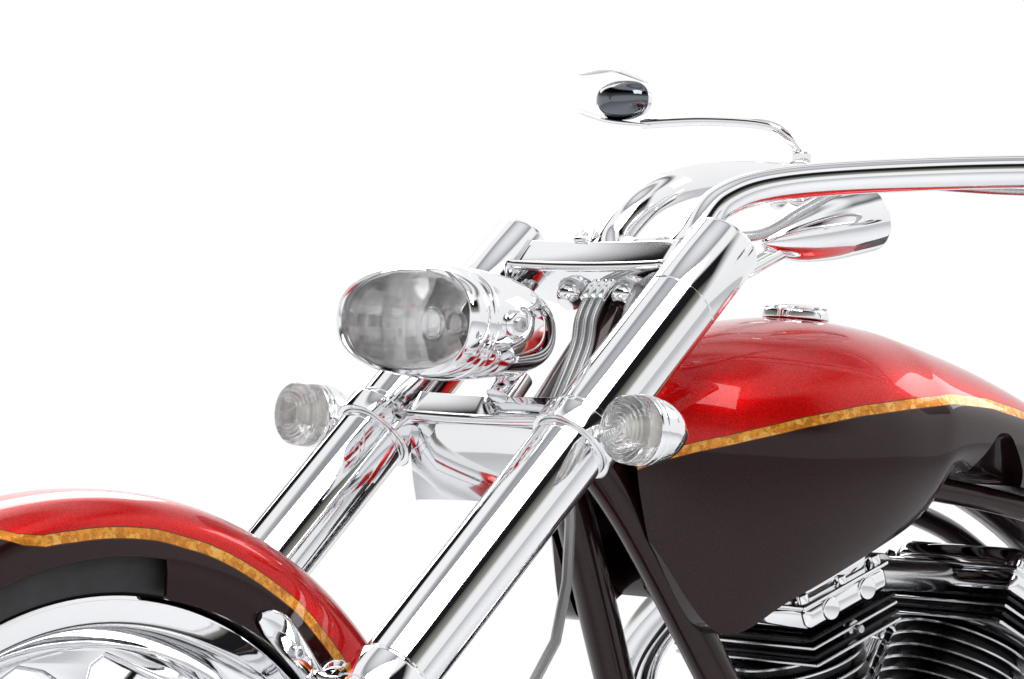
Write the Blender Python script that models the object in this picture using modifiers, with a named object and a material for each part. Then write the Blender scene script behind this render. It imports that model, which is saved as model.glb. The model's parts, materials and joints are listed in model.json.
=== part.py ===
"""Chopper motorcycle on its side stand, as an assembly of separate pieces.

Metres, +Z up. The bike points along -Y and its left side is +X. Every piece is modelled on an
upright bike whose front axle is at y = 0, and one parent empty then leans the whole bike on its
stand. A moving piece hangs from an empty on its joint's axis.
"""

from math import asin, atan2, cos, pi, radians, sin, sqrt, tan

import bmesh
import bpy
from mathutils import Matrix, Vector

# Stance and steering geometry
LEAN = radians(5)
NECK_RAKE = radians(38)
TREE_RAKE = radians(5)
WHEELBASE = 1.92
FORK_LENGTH = 0.763
FORK_SPREAD = 0.241
SEAM_OFFSET = 0.0457
SEAM_HEIGHT = 0.1288
TOUCH = 0.0003
RUNNING_GAP = 0.005
OVERRUN = 0.02
WELD = 0.00001

# Tyres and wheels
FRONT_TYRE_RADIUS = 0.336
FRONT_TYRE_WIDTH = 0.096
FRONT_FLANGE_RADIUS = 0.269
FRONT_RIM_WIDTH = 0.086
REAR_TYRE_RADIUS = 0.325
REAR_TYRE_WIDTH = 0.240
REAR_FLANGE_RADIUS = 0.240
REAR_RIM_WIDTH = 0.226
FLANGE_DEPTH = 0.010
FLANGE_THICK = 0.006
RIM_WALL = 0.008
RIM_WELL = 0.022
HUB_RADIUS = 0.034
FRONT_HUB_WIDTH = 0.110
REAR_HUB_WIDTH = 0.200
AXLE_RADIUS = 0.010
REAR_AXLE_RADIUS = 0.0125
WEB_THICK = 0.016
SPOKE_COUNT = 7
SPOKE_WIDTH = 0.026
SPOKE_SWEEP = radians(20)
WHEEL_STEPS = 32

# Fork legs and clamps
SLEEVE_RADIUS = 0.031
UPPER_TUBE_RADIUS = 0.0305
SLIDER_RADIUS = 0.034
RING_DROP = 0.050
SLIDER_DROP = 0.465
LEG_FOOT = 0.036
CAP_HEIGHT = 0.024
CAP_ROUND = 0.005
CLAMP_THICK = 0.022
UPPER_CLAMP_LEVEL = 0.127
LOWER_CLAMP_LEVEL = -0.050
CLAMP_BULGE = 0.026
CLAMP_REAR = 0.026
STEM_RADIUS = 0.0125
NECK_RADIUS = 0.030

# Lamps
LAMP_AHEAD = 0.155
LAMP_RAISE = 0.066
LAMP_LENGTH = 0.150
LAMP_HALF_WIDTH = 0.078
LAMP_HALF_HEIGHT = 0.047
LENS_DEPTH = 0.010
SIGNAL_SPREAD = 0.402
SIGNAL_RADIUS = 0.028
SIGNAL_LENGTH = 0.072
SIGNAL_DROP = 0.206
BAND_WALL = 0.005
BAND_HEIGHT = 0.020
STALK_RADIUS = 0.008

# Front fender
FENDER_GAP = 0.0065
FENDER_THICK = 0.004
FENDER_HALF_WIDTH = 0.060
FENDER_FRONT_ANGLE = radians(128)
FENDER_REAR_ANGLE = radians(14)
FENDER_STATIONS = 12
REAR_FENDER_STATIONS = 9

# Handlebar and controls
BAR_RADIUS = 0.0145
GRIP_RADIUS = 0.0185
GRIP_LENGTH = 0.130
PERCH_LENGTH = 0.030
PERCH_RADIUS = 0.021
LEVER_AHEAD = 0.050
LEVER_LENGTH = 0.150
MIRROR_WIDTH = 0.120
MIRROR_HEIGHT = 0.055
MIRROR_THICK = 0.010
GAUGE_RADIUS = 0.029
GAUGE_LENGTH = 0.135

# Frame
TUBE_RADIUS = 0.0175
BACKBONE_RADIUS = 0.028
CRADLE_HALF = 0.125
CRADLE_HEIGHT = 0.130
PIVOT_Y = 1.300
PIVOT_HEIGHT = 0.360

# Tank, seat and rear fender
TANK_LENGTH = 0.640
TANK_HEIGHT = 0.280
TANK_HALF_WIDTH = 0.152
TANK_NOSE_BEHIND = 0.020
TANK_FLOOR = 0.581
TUNNEL_HALF = 0.080
REAR_FENDER_GAP = 0.022

# Engine
CRANK_Y = 0.880
CRANK_HEIGHT = 0.300
CYLINDER_LEAN = radians(22.5)
CYLINDER_RADIUS = 0.052
FIN_RADIUS = 0.064
FIN_COUNT = 4
FIN_STEPS = 12
BARREL_START = 0.168
BARREL_LENGTH = 0.135
HEAD_HEIGHT = 0.082
CASE_HALF = 0.080

STEPS = 16


def steer_axis():
    """Unit vectors up along the steering axis and square to it, pointing forward."""
    up = Vector((0, sin(NECK_RAKE), cos(NECK_RAKE)))
    forward = Vector((0, -cos(NECK_RAKE), sin(NECK_RAKE)))
    return up, forward


STEM_UP, STEM_FORWARD = steer_axis()
FORK_UP = Vector((0, sin(NECK_RAKE + TREE_RAKE), cos(NECK_RAKE + TREE_RAKE)))
FORK_FORWARD = Vector((0, -FORK_UP.z, FORK_UP.y))
FRONT_AXLE = Vector((0, 0, FRONT_TYRE_RADIUS))
REAR_AXLE = Vector((0, WHEELBASE, REAR_TYRE_RADIUS))
FORK_SEAM = FRONT_AXLE + FORK_UP * FORK_LENGTH
NECK = FORK_SEAM - STEM_FORWARD * SEAM_OFFSET - STEM_UP * SEAM_HEIGHT
CRANK = Vector((0, CRANK_Y, CRANK_HEIGHT))
TANK_NOSE = NECK.y + TANK_NOSE_BEHIND


def at_neck(side, forward, up):
    """A point given across, ahead of and along the steering axis."""
    return NECK + Vector((side, 0, 0)) + STEM_FORWARD * forward + STEM_UP * up


def at_leg(side, ahead, height):
    """A point given by its height up the fork leg from the axle."""
    return FRONT_AXLE + Vector((side, 0, 0)) + FORK_FORWARD * ahead + FORK_UP * height


def along(start, end, share):
    return start + (end - start) * share


def clear_scene():
    for item in list(bpy.data.objects):
        bpy.data.objects.remove(item, do_unlink=True)


def new_collection(name):
    group = bpy.data.collections.new(name)
    bpy.context.scene.collection.children.link(group)
    return group


clear_scene()
PARTS = new_collection("chopper_motorcycle")


# Materials

def paint(name, colour, metallic, roughness):
    made = bpy.data.materials.new(name)
    made.use_nodes = True
    shader = made.node_tree.nodes["Principled BSDF"]
    shader.inputs["Base Color"].default_value = (*colour, 1)
    shader.inputs["Metallic"].default_value = metallic
    shader.inputs["Roughness"].default_value = roughness
    made.diffuse_color = (*colour, 1)
    return made


CHROME = paint("chrome", (0.85, 0.86, 0.88), 1.0, 0.06)
POLISHED = paint("polished_aluminium", (0.80, 0.81, 0.83), 1.0, 0.18)
BLACK_METAL = paint("black_metal", (0.02, 0.02, 0.022), 0.7, 0.32)
STEEL = paint("steel", (0.55, 0.56, 0.58), 1.0, 0.28)
MAROON = paint("maroon_gloss", (0.055, 0.014, 0.016), 0.3, 0.12)
CANDY_RED = paint("candy_red", (0.50, 0.010, 0.012), 0.5, 0.10)
RUBBER = paint("rubber", (0.015, 0.015, 0.016), 0.0, 0.75)
LEATHER = paint("black_leather", (0.02, 0.019, 0.018), 0.0, 0.55)
CLEAR = paint("clear_lens", (0.90, 0.93, 0.95), 0.0, 0.05)
RED_LENS = paint("red_lens", (0.45, 0.01, 0.01), 0.0, 0.08)
BRAID = paint("braided_steel", (0.42, 0.42, 0.43), 0.8, 0.40)


# Shape makers, each giving a mesh object in the upright bike's axes

def draft(data):
    item = bpy.data.objects.new("draft", data)
    PARTS.objects.link(item)
    return item


def from_bmesh(work):
    mesh = bpy.data.meshes.new("draft")
    work.to_mesh(mesh)
    work.free()
    return draft(mesh)


def settled(item):
    """Replace a curve or a piece with modifiers by its welded mesh."""
    bpy.context.view_layer.update()
    graph = bpy.context.evaluated_depsgraph_get()
    mesh = bpy.data.meshes.new_from_object(item.evaluated_get(graph))
    mesh.transform(item.matrix_world)
    work = bmesh.new()
    work.from_mesh(mesh)
    bmesh.ops.remove_doubles(work, verts=work.verts, dist=WELD)
    bmesh.ops.recalc_face_normals(work, faces=work.faces)
    work.to_mesh(mesh)
    work.free()
    bpy.data.objects.remove(item, do_unlink=True)
    return draft(mesh)


def aimed(direction):
    return direction.to_track_quat("Z", "Y").to_matrix().to_4x4()


def rod(start, end, radius, end_radius=None, sides=STEPS):
    work = bmesh.new()
    bmesh.ops.create_cone(
        work, cap_ends=True, segments=sides, radius1=radius,
        radius2=radius if end_radius is None else end_radius, depth=(end - start).length,
        matrix=Matrix.Translation((start + end) / 2) @ aimed(end - start))
    return from_bmesh(work)


def block(centre, size, turn=None, round_edge=0):
    """A box with its edges rounded where round_edge is given."""
    work = bmesh.new()
    scale = Matrix.Diagonal((*size, 1))
    bmesh.ops.create_cube(work, size=1, matrix=scale)
    item = from_bmesh(work)
    if round_edge:
        edges = item.modifiers.new("edges", "BEVEL")
        edges.width = round_edge
        edges.segments = 2
    item.matrix_world = Matrix.Translation(centre) @ (turn or Matrix.Identity(4))
    return settled(item)


def turned(profile, point, direction, steps=STEPS, closed=False):
    """A profile of (radius, height) pairs, top to bottom, turned about an axis."""
    mesh = bpy.data.meshes.new("profile")
    count = len(profile)
    edges = [(i, i + 1) for i in range(count - 1)]
    if closed:
        edges.append((count - 1, 0))
    mesh.from_pydata([(radius, 0, height) for radius, height in profile], edges, [])
    item = draft(mesh)
    spin = item.modifiers.new("turn", "SCREW")
    spin.steps = steps
    spin.render_steps = steps
    spin.use_merge_vertices = True
    spin.merge_threshold = WELD
    half_step = Matrix.Rotation(pi / steps, 4, "Z")
    item.matrix_world = Matrix.Translation(point) @ aimed(direction) @ half_step
    return settled(item)


def smooth_route(points, pieces, straight_last=False):
    """Points on a smooth curve through the given ones, a few for each leg."""
    last = len(points) - 1
    route = []
    for i in range(last):
        before, start = points[max(i - 1, 0)], points[i]
        end, after = points[i + 1], points[min(i + 2, last)]
        legs = 1 if straight_last and i == last - 1 else pieces
        for step in range(legs):
            t = step / legs
            route.append(
                0.5 * (2 * start + (end - before) * t
                       + (2 * before - 5 * start + 4 * end - after) * t ** 2
                       + (3 * start - before - 3 * end + after) * t ** 3))
    route.append(points[last])
    return route


def tube(points, radius, resolution=3):
    curve = bpy.data.curves.new("route", "CURVE")
    curve.dimensions = "3D"
    curve.bevel_depth = radius
    curve.bevel_resolution = resolution
    curve.use_fill_caps = True
    spline = curve.splines.new("POLY")
    spline.points.add(len(points) - 1)
    for target, point in zip(spline.points, points):
        target.co = (*point, 1)
    return settled(draft(curve))


def plate(outlines, thickness, placement):
    """Flat outlines, the first one outside and the rest holes, made as thick as asked."""
    curve = bpy.data.curves.new("outline", "CURVE")
    curve.dimensions = "2D"
    curve.fill_mode = "BOTH"
    curve.extrude = thickness / 2
    for outline in outlines:
        spline = curve.splines.new("POLY")
        spline.points.add(len(outline) - 1)
        for target, (across, up) in zip(spline.points, outline):
            target.co = (across, up, 0, 1)
        spline.use_cyclic_u = True
    item = draft(curve)
    item.matrix_world = placement
    return settled(item)


def side_plane(side):
    """Places an outline of (back, up) pairs square across the bike."""
    return Matrix(((0, 0, 1, side), (1, 0, 0, 0), (0, 1, 0, 0), (0, 0, 0, 1)))


def clamp_plane(level):
    """Places an outline of (side, back) pairs square to the steering axis."""
    origin = at_neck(0, 0, level)
    columns = Matrix((Vector((1, 0, 0)), -STEM_FORWARD, STEM_UP)).transposed()
    return Matrix.Translation(origin) @ columns.to_4x4()


def loft(rings):
    """A skin over matching rings of points, closed at both ends."""
    work = bmesh.new()
    rows = [[work.verts.new(point) for point in ring] for ring in rings]
    count = len(rows[0])
    for here, after in zip(rows, rows[1:]):
        for i in range(count):
            j = (i + 1) % count
            work.faces.new((here[i], here[j], after[j], after[i]))
    work.faces.new(reversed(rows[0]))
    work.faces.new(rows[-1])
    bmesh.ops.recalc_face_normals(work, faces=work.faces)
    return from_bmesh(work)


def boolean(base, others, operation):
    for other in others:
        step = base.modifiers.new("boolean", "BOOLEAN")
        step.operation = operation
        step.solver = "EXACT"
        step.object = other
    result = settled(base)
    for other in others:
        bpy.data.objects.remove(other, do_unlink=True)
    return result


def joined(base, *others):
    return boolean(base, others, "UNION")


def cut(base, *cutters):
    return boolean(base, cutters, "DIFFERENCE")


def bore(radius, steps=STEPS, gap=TOUCH):
    """The radius at which a faceted bore clears a round piece of the given radius."""
    return (radius + gap) / cos(pi / steps)


# Stance and joints

TYRE_SHARES = (
    # height above the flange, half width
    (0.05, 0.93), (0.42, 1.0), (0.72, 0.80), (0.91, 0.45), (0.982, 0.16))
FRONT_TYRE_SIZES = (FRONT_TYRE_RADIUS, FRONT_TYRE_WIDTH, FRONT_FLANGE_RADIUS, FRONT_RIM_WIDTH)
REAR_TYRE_SIZES = (REAR_TYRE_RADIUS, REAR_TYRE_WIDTH, REAR_FLANGE_RADIUS, REAR_RIM_WIDTH)


def tyre_profile(radius, width, flange, rim_width):
    """The section of a tyre as (radius, offset) pairs down its outer side."""
    depth = radius - flange
    bead = rim_width / 2 - FLANGE_THICK - TOUCH
    seat = flange - FLANGE_DEPTH + TOUCH
    upper = [(seat, bead), (flange, bead)]
    for height_share, width_share in TYRE_SHARES:
        upper.append((flange + height_share * depth, width_share * width / 2))
    lower = [(height, -offset) for height, offset in reversed(upper)]
    return upper + [(radius, 0)] + lower


def ground_drop(sizes):
    """How far a leaned tyre reaches below its axle, on the flat of a facet."""
    facet = cos(pi / WHEEL_STEPS)
    return max(radius * facet * cos(LEAN) + offset * sin(LEAN)
               for radius, offset in tyre_profile(*sizes))


def stance_matrix():
    """Leans the bike to its left and sets both tyres on the ground."""
    front_drop = ground_drop(FRONT_TYRE_SIZES)
    rear_drop = ground_drop(REAR_TYRE_SIZES)
    rise = rear_drop - front_drop - (REAR_AXLE.z - FRONT_AXLE.z) * cos(LEAN)
    lean = Matrix.Rotation(LEAN, 4, "Y")
    pitch = Matrix.Rotation(asin(rise / WHEELBASE), 4, "X")
    turn = pitch @ lean
    lift = front_drop - (turn @ FRONT_AXLE).z
    return Matrix.Translation((0, 0, lift)) @ turn


STANCE = stance_matrix()
WORLD_UP = (STANCE.to_3x3().inverted() @ Vector((0, 0, 1))).normalized()


def ground_point(side, back):
    """The point of the ground under a place on the upright bike, in its own axes."""
    top = STANCE @ Vector((side, back, 0))
    return STANCE.inverted() @ Vector((top.x, top.y, 0))


def empty(name, parent, point):
    item = bpy.data.objects.new(name, None)
    PARTS.objects.link(item)
    item.parent = parent
    item.location = point
    return item


STAND_OFFSET = 0.034
STAND_BACK = 0.960
STAND_PIN_RADIUS = 0.006
STAND_EYE_RADIUS = 0.014
STAND_EYE_HALF = 0.009
STAND_LEG_RADIUS = 0.009
STAND_PAD_RADIUS = 0.024
STAND_PAD_THICK = 0.008
LUG_REACH = 0.024
LUG_THICK = 0.008
STAND_PIVOT = Vector((CRADLE_HALF + STAND_OFFSET, STAND_BACK, CRADLE_HEIGHT))
STAND_DOWN = Vector((0.79, -0.30, -0.58)).normalized()
STAND_FOLDED = Vector((0.10, 0.99, 0.10)).normalized()
STAND_AXIS = STAND_DOWN.cross(STAND_FOLDED).normalized()
stance = empty("stance", None, Vector((0, 0, 0)))
chassis = empty("chassis_origin", stance, Vector((0, 0, 0)))
steering = empty("steering_axis", stance, NECK)
front_wheel = empty("front_wheel_axis", steering, FRONT_AXLE - NECK)
rear_wheel = empty("rear_wheel_axis", stance, REAR_AXLE)
stand = empty("side_stand_axis", stance, STAND_PIVOT)
ORIGINS = {chassis: Vector((0, 0, 0)), steering: NECK, front_wheel: FRONT_AXLE,
           rear_wheel: REAR_AXLE, stand: STAND_PIVOT}


def finish(item, name, material, joint):
    """Name a piece, paint it and hang it from the empty on its joint's axis."""
    item.name = name
    item.data.name = name
    item.data.transform(Matrix.Translation(-ORIGINS[joint]))
    item.parent = joint
    item.data.materials.clear()
    item.data.materials.append(material)
    item.data.shade_smooth()
    item.data.set_sharp_from_angle(angle=radians(35))
    return item


# Wheels

ACROSS = Vector((1, 0, 0))


def tyre(name, centre, sizes, joint):
    item = turned(tyre_profile(*sizes), centre, ACROSS, WHEEL_STEPS, closed=True)
    finish(item, name, RUBBER, joint)


def rim_profile(flange, width):
    half = width / 2
    inside = half - FLANGE_THICK
    seat = flange - FLANGE_DEPTH
    well = seat - RIM_WELL
    outer = [(flange, half), (flange, inside), (seat, inside), (well, inside * 0.4)]
    mirrored = [(radius, -offset) for radius, offset in reversed(outer)]
    barrel = well - RIM_WALL
    return outer + mirrored + [(barrel, -half * 0.7), (barrel, half * 0.7)]


def window(inner, outer, middle):
    """One curved opening of a wheel, between two swept spokes."""
    pitch = 2 * pi / SPOKE_COUNT
    points = []
    for share in (0.06, 0.4, 0.85, 1.0):
        radius = along(inner, outer, share)
        half = pitch / 2 - SPOKE_WIDTH / 2 / radius - (0.05 if share in (0.06, 1.0) else 0)
        points.append((radius, middle + SPOKE_SWEEP * share - half,
                       middle + SPOKE_SWEEP * share + half))
    left = [(radius, angle) for radius, angle, _ in points]
    right = [(radius, angle) for radius, _, angle in reversed(points)]
    rim_angle = middle + SPOKE_SWEEP
    tip = [(outer, rim_angle)]
    foot = [(inner, middle)]
    return [(radius * cos(angle), radius * sin(angle)) for radius, angle in
            left + tip + right + foot]


def circle(radius, steps, centre=(0, 0)):
    return [(centre[0] + radius * cos(2 * pi * i / steps),
             centre[1] + radius * sin(2 * pi * i / steps)) for i in range(steps)]


def wheel(name, centre, flange, rim_width, hub_width, axle, joint):
    rim = turned(rim_profile(flange, rim_width), centre, ACROSS, WHEEL_STEPS, closed=True)
    half = hub_width / 2
    shaft = bore(axle, gap=RUNNING_GAP / 10)
    hub = turned([(shaft, half), (HUB_RADIUS * 0.8, half), (HUB_RADIUS, half * 0.8),
                  (HUB_RADIUS, -half * 0.8), (HUB_RADIUS * 0.8, -half), (shaft, -half)],
                 centre, ACROSS, closed=True)
    web_outer = flange - FLANGE_DEPTH - RIM_WELL - RIM_WALL / 2
    openings = [window(HUB_RADIUS * 2, web_outer * 0.93, 2 * pi * i / SPOKE_COUNT)
                for i in range(SPOKE_COUNT)]
    web = plate([circle(web_outer, WHEEL_STEPS), circle(HUB_RADIUS * 0.9, STEPS), *openings],
                WEB_THICK, Matrix.Translation(centre) @ side_plane(0))
    finish(joined(rim, web, hub), name, CHROME, joint)


def make_wheels():
    tyre("front_tyre", FRONT_AXLE, FRONT_TYRE_SIZES, front_wheel)
    tyre("rear_tyre", REAR_AXLE, REAR_TYRE_SIZES, rear_wheel)
    wheel("front_wheel", FRONT_AXLE, FRONT_FLANGE_RADIUS, FRONT_RIM_WIDTH, FRONT_HUB_WIDTH,
          AXLE_RADIUS, front_wheel)
    wheel("rear_wheel", REAR_AXLE, REAR_FLANGE_RADIUS, REAR_RIM_WIDTH, REAR_HUB_WIDTH,
          REAR_AXLE_RADIUS, rear_wheel)


make_wheels()


# Fork, clamps and axle

def leg_axis_ahead(level):
    """How far ahead of the steering axis the fork legs run at a level along it."""
    return SEAM_OFFSET + (SEAM_HEIGHT - level) * tan(TREE_RAKE)


def leg_rod(side, radius, low, high, sides=STEPS):
    return rod(at_leg(side, 0, low), at_leg(side, 0, high), radius, sides=sides)


def make_fork_leg(name, side):
    ring = FORK_LENGTH - RING_DROP
    slider = FORK_LENGTH - SLIDER_DROP
    top = FORK_LENGTH + CAP_HEIGHT
    profile = [
        (0, top), (UPPER_TUBE_RADIUS - CAP_ROUND, top), (UPPER_TUBE_RADIUS, top - CAP_ROUND),
        (UPPER_TUBE_RADIUS, ring), (SLEEVE_RADIUS, ring), (SLEEVE_RADIUS, slider),
        (SLIDER_RADIUS, slider), (SLIDER_RADIUS, -LEG_FOOT + CAP_ROUND),
        (SLIDER_RADIUS - CAP_ROUND, -LEG_FOOT), (0, -LEG_FOOT)]
    leg = turned(profile, at_leg(side, 0, 0), FORK_UP)
    reach = Vector((SLIDER_RADIUS + OVERRUN, 0, 0))
    centre = at_leg(side, 0, 0)
    eye = rod(centre - reach, centre + reach, bore(AXLE_RADIUS))
    finish(cut(leg, eye), name, CHROME, steering)


def make_front_axle():
    inner = FORK_SPREAD / 2 - SLIDER_RADIUS - TOUCH
    outer = FORK_SPREAD / 2 + SLIDER_RADIUS + TOUCH
    hub = FRONT_HUB_WIDTH / 2 + TOUCH
    nut = outer + AXLE_NUT_HEIGHT
    half = [(0, nut), (AXLE_NUT_RADIUS, nut), (AXLE_NUT_RADIUS, outer), (AXLE_RADIUS, outer), (AXLE_RADIUS, inner),
            (SPACER_RADIUS, inner), (SPACER_RADIUS, hub), (AXLE_RADIUS, hub)]
    mirrored = [(radius, -offset) for radius, offset in reversed(half)]
    finish(turned(half + mirrored, FRONT_AXLE, ACROSS), "front_axle", STEEL, steering)


AXLE_NUT_RADIUS = 0.019
AXLE_NUT_HEIGHT = 0.014
SPACER_RADIUS = 0.017


def clamp_outline(level, bulge, rear_reach):
    """A fork clamp seen along the steering axis, as (side, back) pairs."""
    half = FORK_SPREAD / 2
    ahead = leg_axis_ahead(level)
    front = [(0, ahead + bulge), (half * 0.45, ahead + bulge * 0.82),
             (half * 0.85, ahead + bulge * 0.30), (half, ahead)]
    rear = [(half * 0.9, ahead - UPPER_TUBE_RADIUS * 0.7), (half * 0.45, ahead - CLAMP_THICK),
            (NECK_RADIUS * 0.95, -rear_reach * 0.5), (NECK_RADIUS * 0.5, -rear_reach)]
    right = front + rear
    left = [(-side, forward) for side, forward in reversed(right) if side]
    return [(side, -forward) for side, forward in right + left]


def clamp(level, bulge, leg_radius):
    shape = plate([clamp_outline(level, bulge, CLAMP_REAR)], CLAMP_THICK, clamp_plane(level))
    legs = [leg_rod(side * FORK_SPREAD / 2, bore(leg_radius), FORK_LENGTH / 2,
                    FORK_LENGTH + CAP_HEIGHT + OVERRUN) for side in (-1, 1)]
    return cut(shape, *legs)


def make_clamps():
    upper_under = UPPER_CLAMP_LEVEL - CLAMP_THICK / 2
    upper = clamp(UPPER_CLAMP_LEVEL, CLAMP_BULGE, UPPER_TUBE_RADIUS)
    finish(upper, "upper_clamp", CHROME, steering)
    lower = clamp(LOWER_CLAMP_LEVEL, CLAMP_BULGE, SLEEVE_RADIUS)
    stem = rod(at_neck(0, 0, LOWER_CLAMP_LEVEL), at_neck(0, 0, upper_under - TOUCH), STEM_RADIUS)
    finish(joined(lower, stem, fork_apron()), "lower_clamp", CHROME, steering)


APRON_DROP = 0.050
APRON_BACK = 0.044
APRON_THICK = 0.003
APRON_STEPS = 5


def fork_apron():
    """The curved cover that hangs from the lower clamp between the legs."""
    level = LOWER_CLAMP_LEVEL - CLAMP_THICK / 2 + APRON_THICK / 2
    ahead = leg_axis_ahead(level) + CLAMP_BULGE * 0.55
    face, back = [], []
    for i in range(APRON_STEPS + 1):
        turn = pi / 2 * i / APRON_STEPS
        forward = ahead - APRON_BACK * (1 - cos(turn))
        drop = APRON_DROP * sin(turn)
        point = at_neck(0, forward, level - drop)
        inside = at_neck(0, forward - APRON_THICK * cos(turn) - APRON_THICK * sin(turn),
                         level - drop + APRON_THICK * sin(turn) * 0.5)
        face.append((point.y, point.z))
        back.append((inside.y, inside.z))
    width = FORK_SPREAD - 2 * (SLEEVE_RADIUS + BAND_WALL) - 4 * TOUCH
    return plate([face + back[::-1]], width, side_plane(0))


def ellipse_ring(centre, half_width, half_height, squareness, steps, tip=Vector((0, 0, 0))):
    """A rounded ring in a plane square to the bike's length."""
    ring = []
    for i in range(steps):
        turn = 2 * pi * (i + 0.5) / steps
        across, up = cos(turn), sin(turn)
        side = half_width * abs(across) ** (2 / squareness) * (1 if across > 0 else -1)
        rise = half_height * abs(up) ** (2 / squareness) * (1 if up > 0 else -1)
        ring.append(centre + Vector((side, 0, rise)) + tip * rise)
    return ring


LAMP_SHARES = (
    # back from the face, half width, half height, drop
    (0.0, 0.90, 0.84, 0.0), (0.07, 0.98, 0.97, 0.0), (0.3, 1.0, 1.0, 0.0),
    (0.55, 0.88, 0.895, 0.0), (0.78, 0.62, 0.70, 0.06), (0.93, 0.32, 0.38, 0.10),
    (1.0, 0.10, 0.12, 0.12))
LAMP_STEPS = 20
LAMP_CENTRE = NECK + Vector((0, -LAMP_AHEAD - LAMP_LENGTH * 0.15, LAMP_RAISE))
LENS_SHARE = 0.90


def make_headlight():
    rings = [ellipse_ring(LAMP_CENTRE + Vector((0, back * LAMP_LENGTH, -drop * LAMP_HALF_HEIGHT)),
                          wide * LAMP_HALF_WIDTH, tall * LAMP_HALF_HEIGHT, 2.3, LAMP_STEPS)
             for back, wide, tall, drop in LAMP_SHARES]
    shell = loft(rings)
    seat_level = LOWER_CLAMP_LEVEL + CLAMP_THICK / 2 + TOUCH
    foot = at_neck(0, leg_axis_ahead(seat_level), seat_level)
    shell = joined(shell, rod(foot, foot + STEM_UP * LAMP_HALF_HEIGHT * 0.6, LAMP_POST_RADIUS))
    opening = [(-OVERRUN / LENS_DEPTH, 1.0), (1.0, 1.0)]
    wide = LAMP_HALF_WIDTH * LAMP_SHARES[0][1] * LENS_SHARE
    tall = LAMP_HALF_HEIGHT * LAMP_SHARES[0][2] * LENS_SHARE
    cutter = loft([ellipse_ring(LAMP_CENTRE + Vector((0, depth * LENS_DEPTH, 0)),
                                wide * size, tall * size, 2.3, LAMP_STEPS)
                   for depth, size in opening])
    finish(cut(shell, cutter), "headlight_shell", CHROME, steering)
    profile = [(1.0, 0.97), (0.0, 1.0), (-0.55, 0.9), (-1.1, 0.62), (-1.4, 0.25)]
    lens = loft([ellipse_ring(LAMP_CENTRE + Vector((0, depth * LENS_DEPTH - TOUCH, 0)),
                              wide * size - 2 * TOUCH, tall * size - 2 * TOUCH, 2.3, LAMP_STEPS)
                 for depth, size in profile])
    finish(lens, "headlight_lens", CLEAR, steering)


LAMP_POST_RADIUS = 0.014


def make_turn_signal(name, hand):
    height = FORK_LENGTH - SIGNAL_DROP
    half = FORK_SPREAD / 2
    inner = bore(SLEEVE_RADIUS)
    outer = SLEEVE_RADIUS + BAND_WALL
    band = turned([(inner, BAND_HEIGHT / 2), (outer, BAND_HEIGHT / 2), (outer, -BAND_HEIGHT / 2),
                   (inner, -BAND_HEIGHT / 2)], at_leg(hand * half, 0, height), FORK_UP,
                  closed=True)
    stalk_start = at_leg(hand * (half + SLEEVE_RADIUS + BAND_WALL / 2), 0, height)
    centre = at_leg(hand * SIGNAL_SPREAD / 2, 0, height) + Vector((0, 0, SIGNAL_RADIUS * 0.3))
    stalk = rod(stalk_start, centre, STALK_RADIUS)
    front = Vector((0, -1, 0))
    reach = SIGNAL_LENGTH * 0.5
    body = turned([(0, reach), (SIGNAL_RADIUS * 0.6, reach - SIGNAL_LENGTH * 0.03),
                   (SIGNAL_RADIUS * 0.95, reach - SIGNAL_LENGTH * 0.10),
                   (SIGNAL_RADIUS, reach - SIGNAL_LENGTH * 0.20),
                   (SIGNAL_RADIUS * 0.97, reach - SIGNAL_LENGTH * 0.45),
                   (SIGNAL_RADIUS * 0.78, reach - SIGNAL_LENGTH * 0.75),
                   (SIGNAL_RADIUS * 0.42, reach - SIGNAL_LENGTH * 0.95), (0, -reach)],
                  centre, front)
    finish(joined(body, stalk, band), name, CHROME, steering)


FENDER_SECTION_SHARES = (
    # half width, height above the skirt's edge on the outside
    (1.0, 0.0), (1.0, 0.45), (0.93, 0.72), (0.70, 0.90), (0.36, 0.985), (0.0, 1.0))


def fender_ring(centre, angle, radius, half_width, skirt, thick):
    """One section of a fender at an angle above the rear, with skirts of the given depth."""
    outward = Vector((0, cos(angle), sin(angle)))
    outside, inside = [], []
    for wide, rise in FENDER_SECTION_SHARES:
        height = radius - skirt * (1 - rise)
        outside.append((wide * half_width, height))
        inner_height = min(height, radius - thick) if rise else height
        sink = thick if rise > 0.8 else 0
        inside.append((wide * (half_width - thick), inner_height - sink))
    outside += [(-wide, high) for wide, high in reversed(outside[:-1])]
    inside += [(-wide, high) for wide, high in reversed(inside[:-1])]
    loop = outside + inside[::-1]
    return [centre + Vector((wide, 0, 0)) + outward * high for wide, high in loop]


def fender(centre, radius, half_width, first, last, skirts, thick, stations):
    rings = []
    for i in range(stations + 1):
        share = i / stations
        angle = along(first, last, share)
        rings.append(fender_ring(centre, angle, radius, half_width, skirts(share), thick))
    return loft(rings)


def front_skirt(share):
    """Deep over the rear half and shallow at the front."""
    deep = FRONT_TYRE_RADIUS + FENDER_GAP + FENDER_THICK - FRONT_FLANGE_RADIUS
    return deep if share < FENDER_STEP_SHARE else deep * 0.62


FENDER_STEP_SHARE = 0.62


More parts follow.
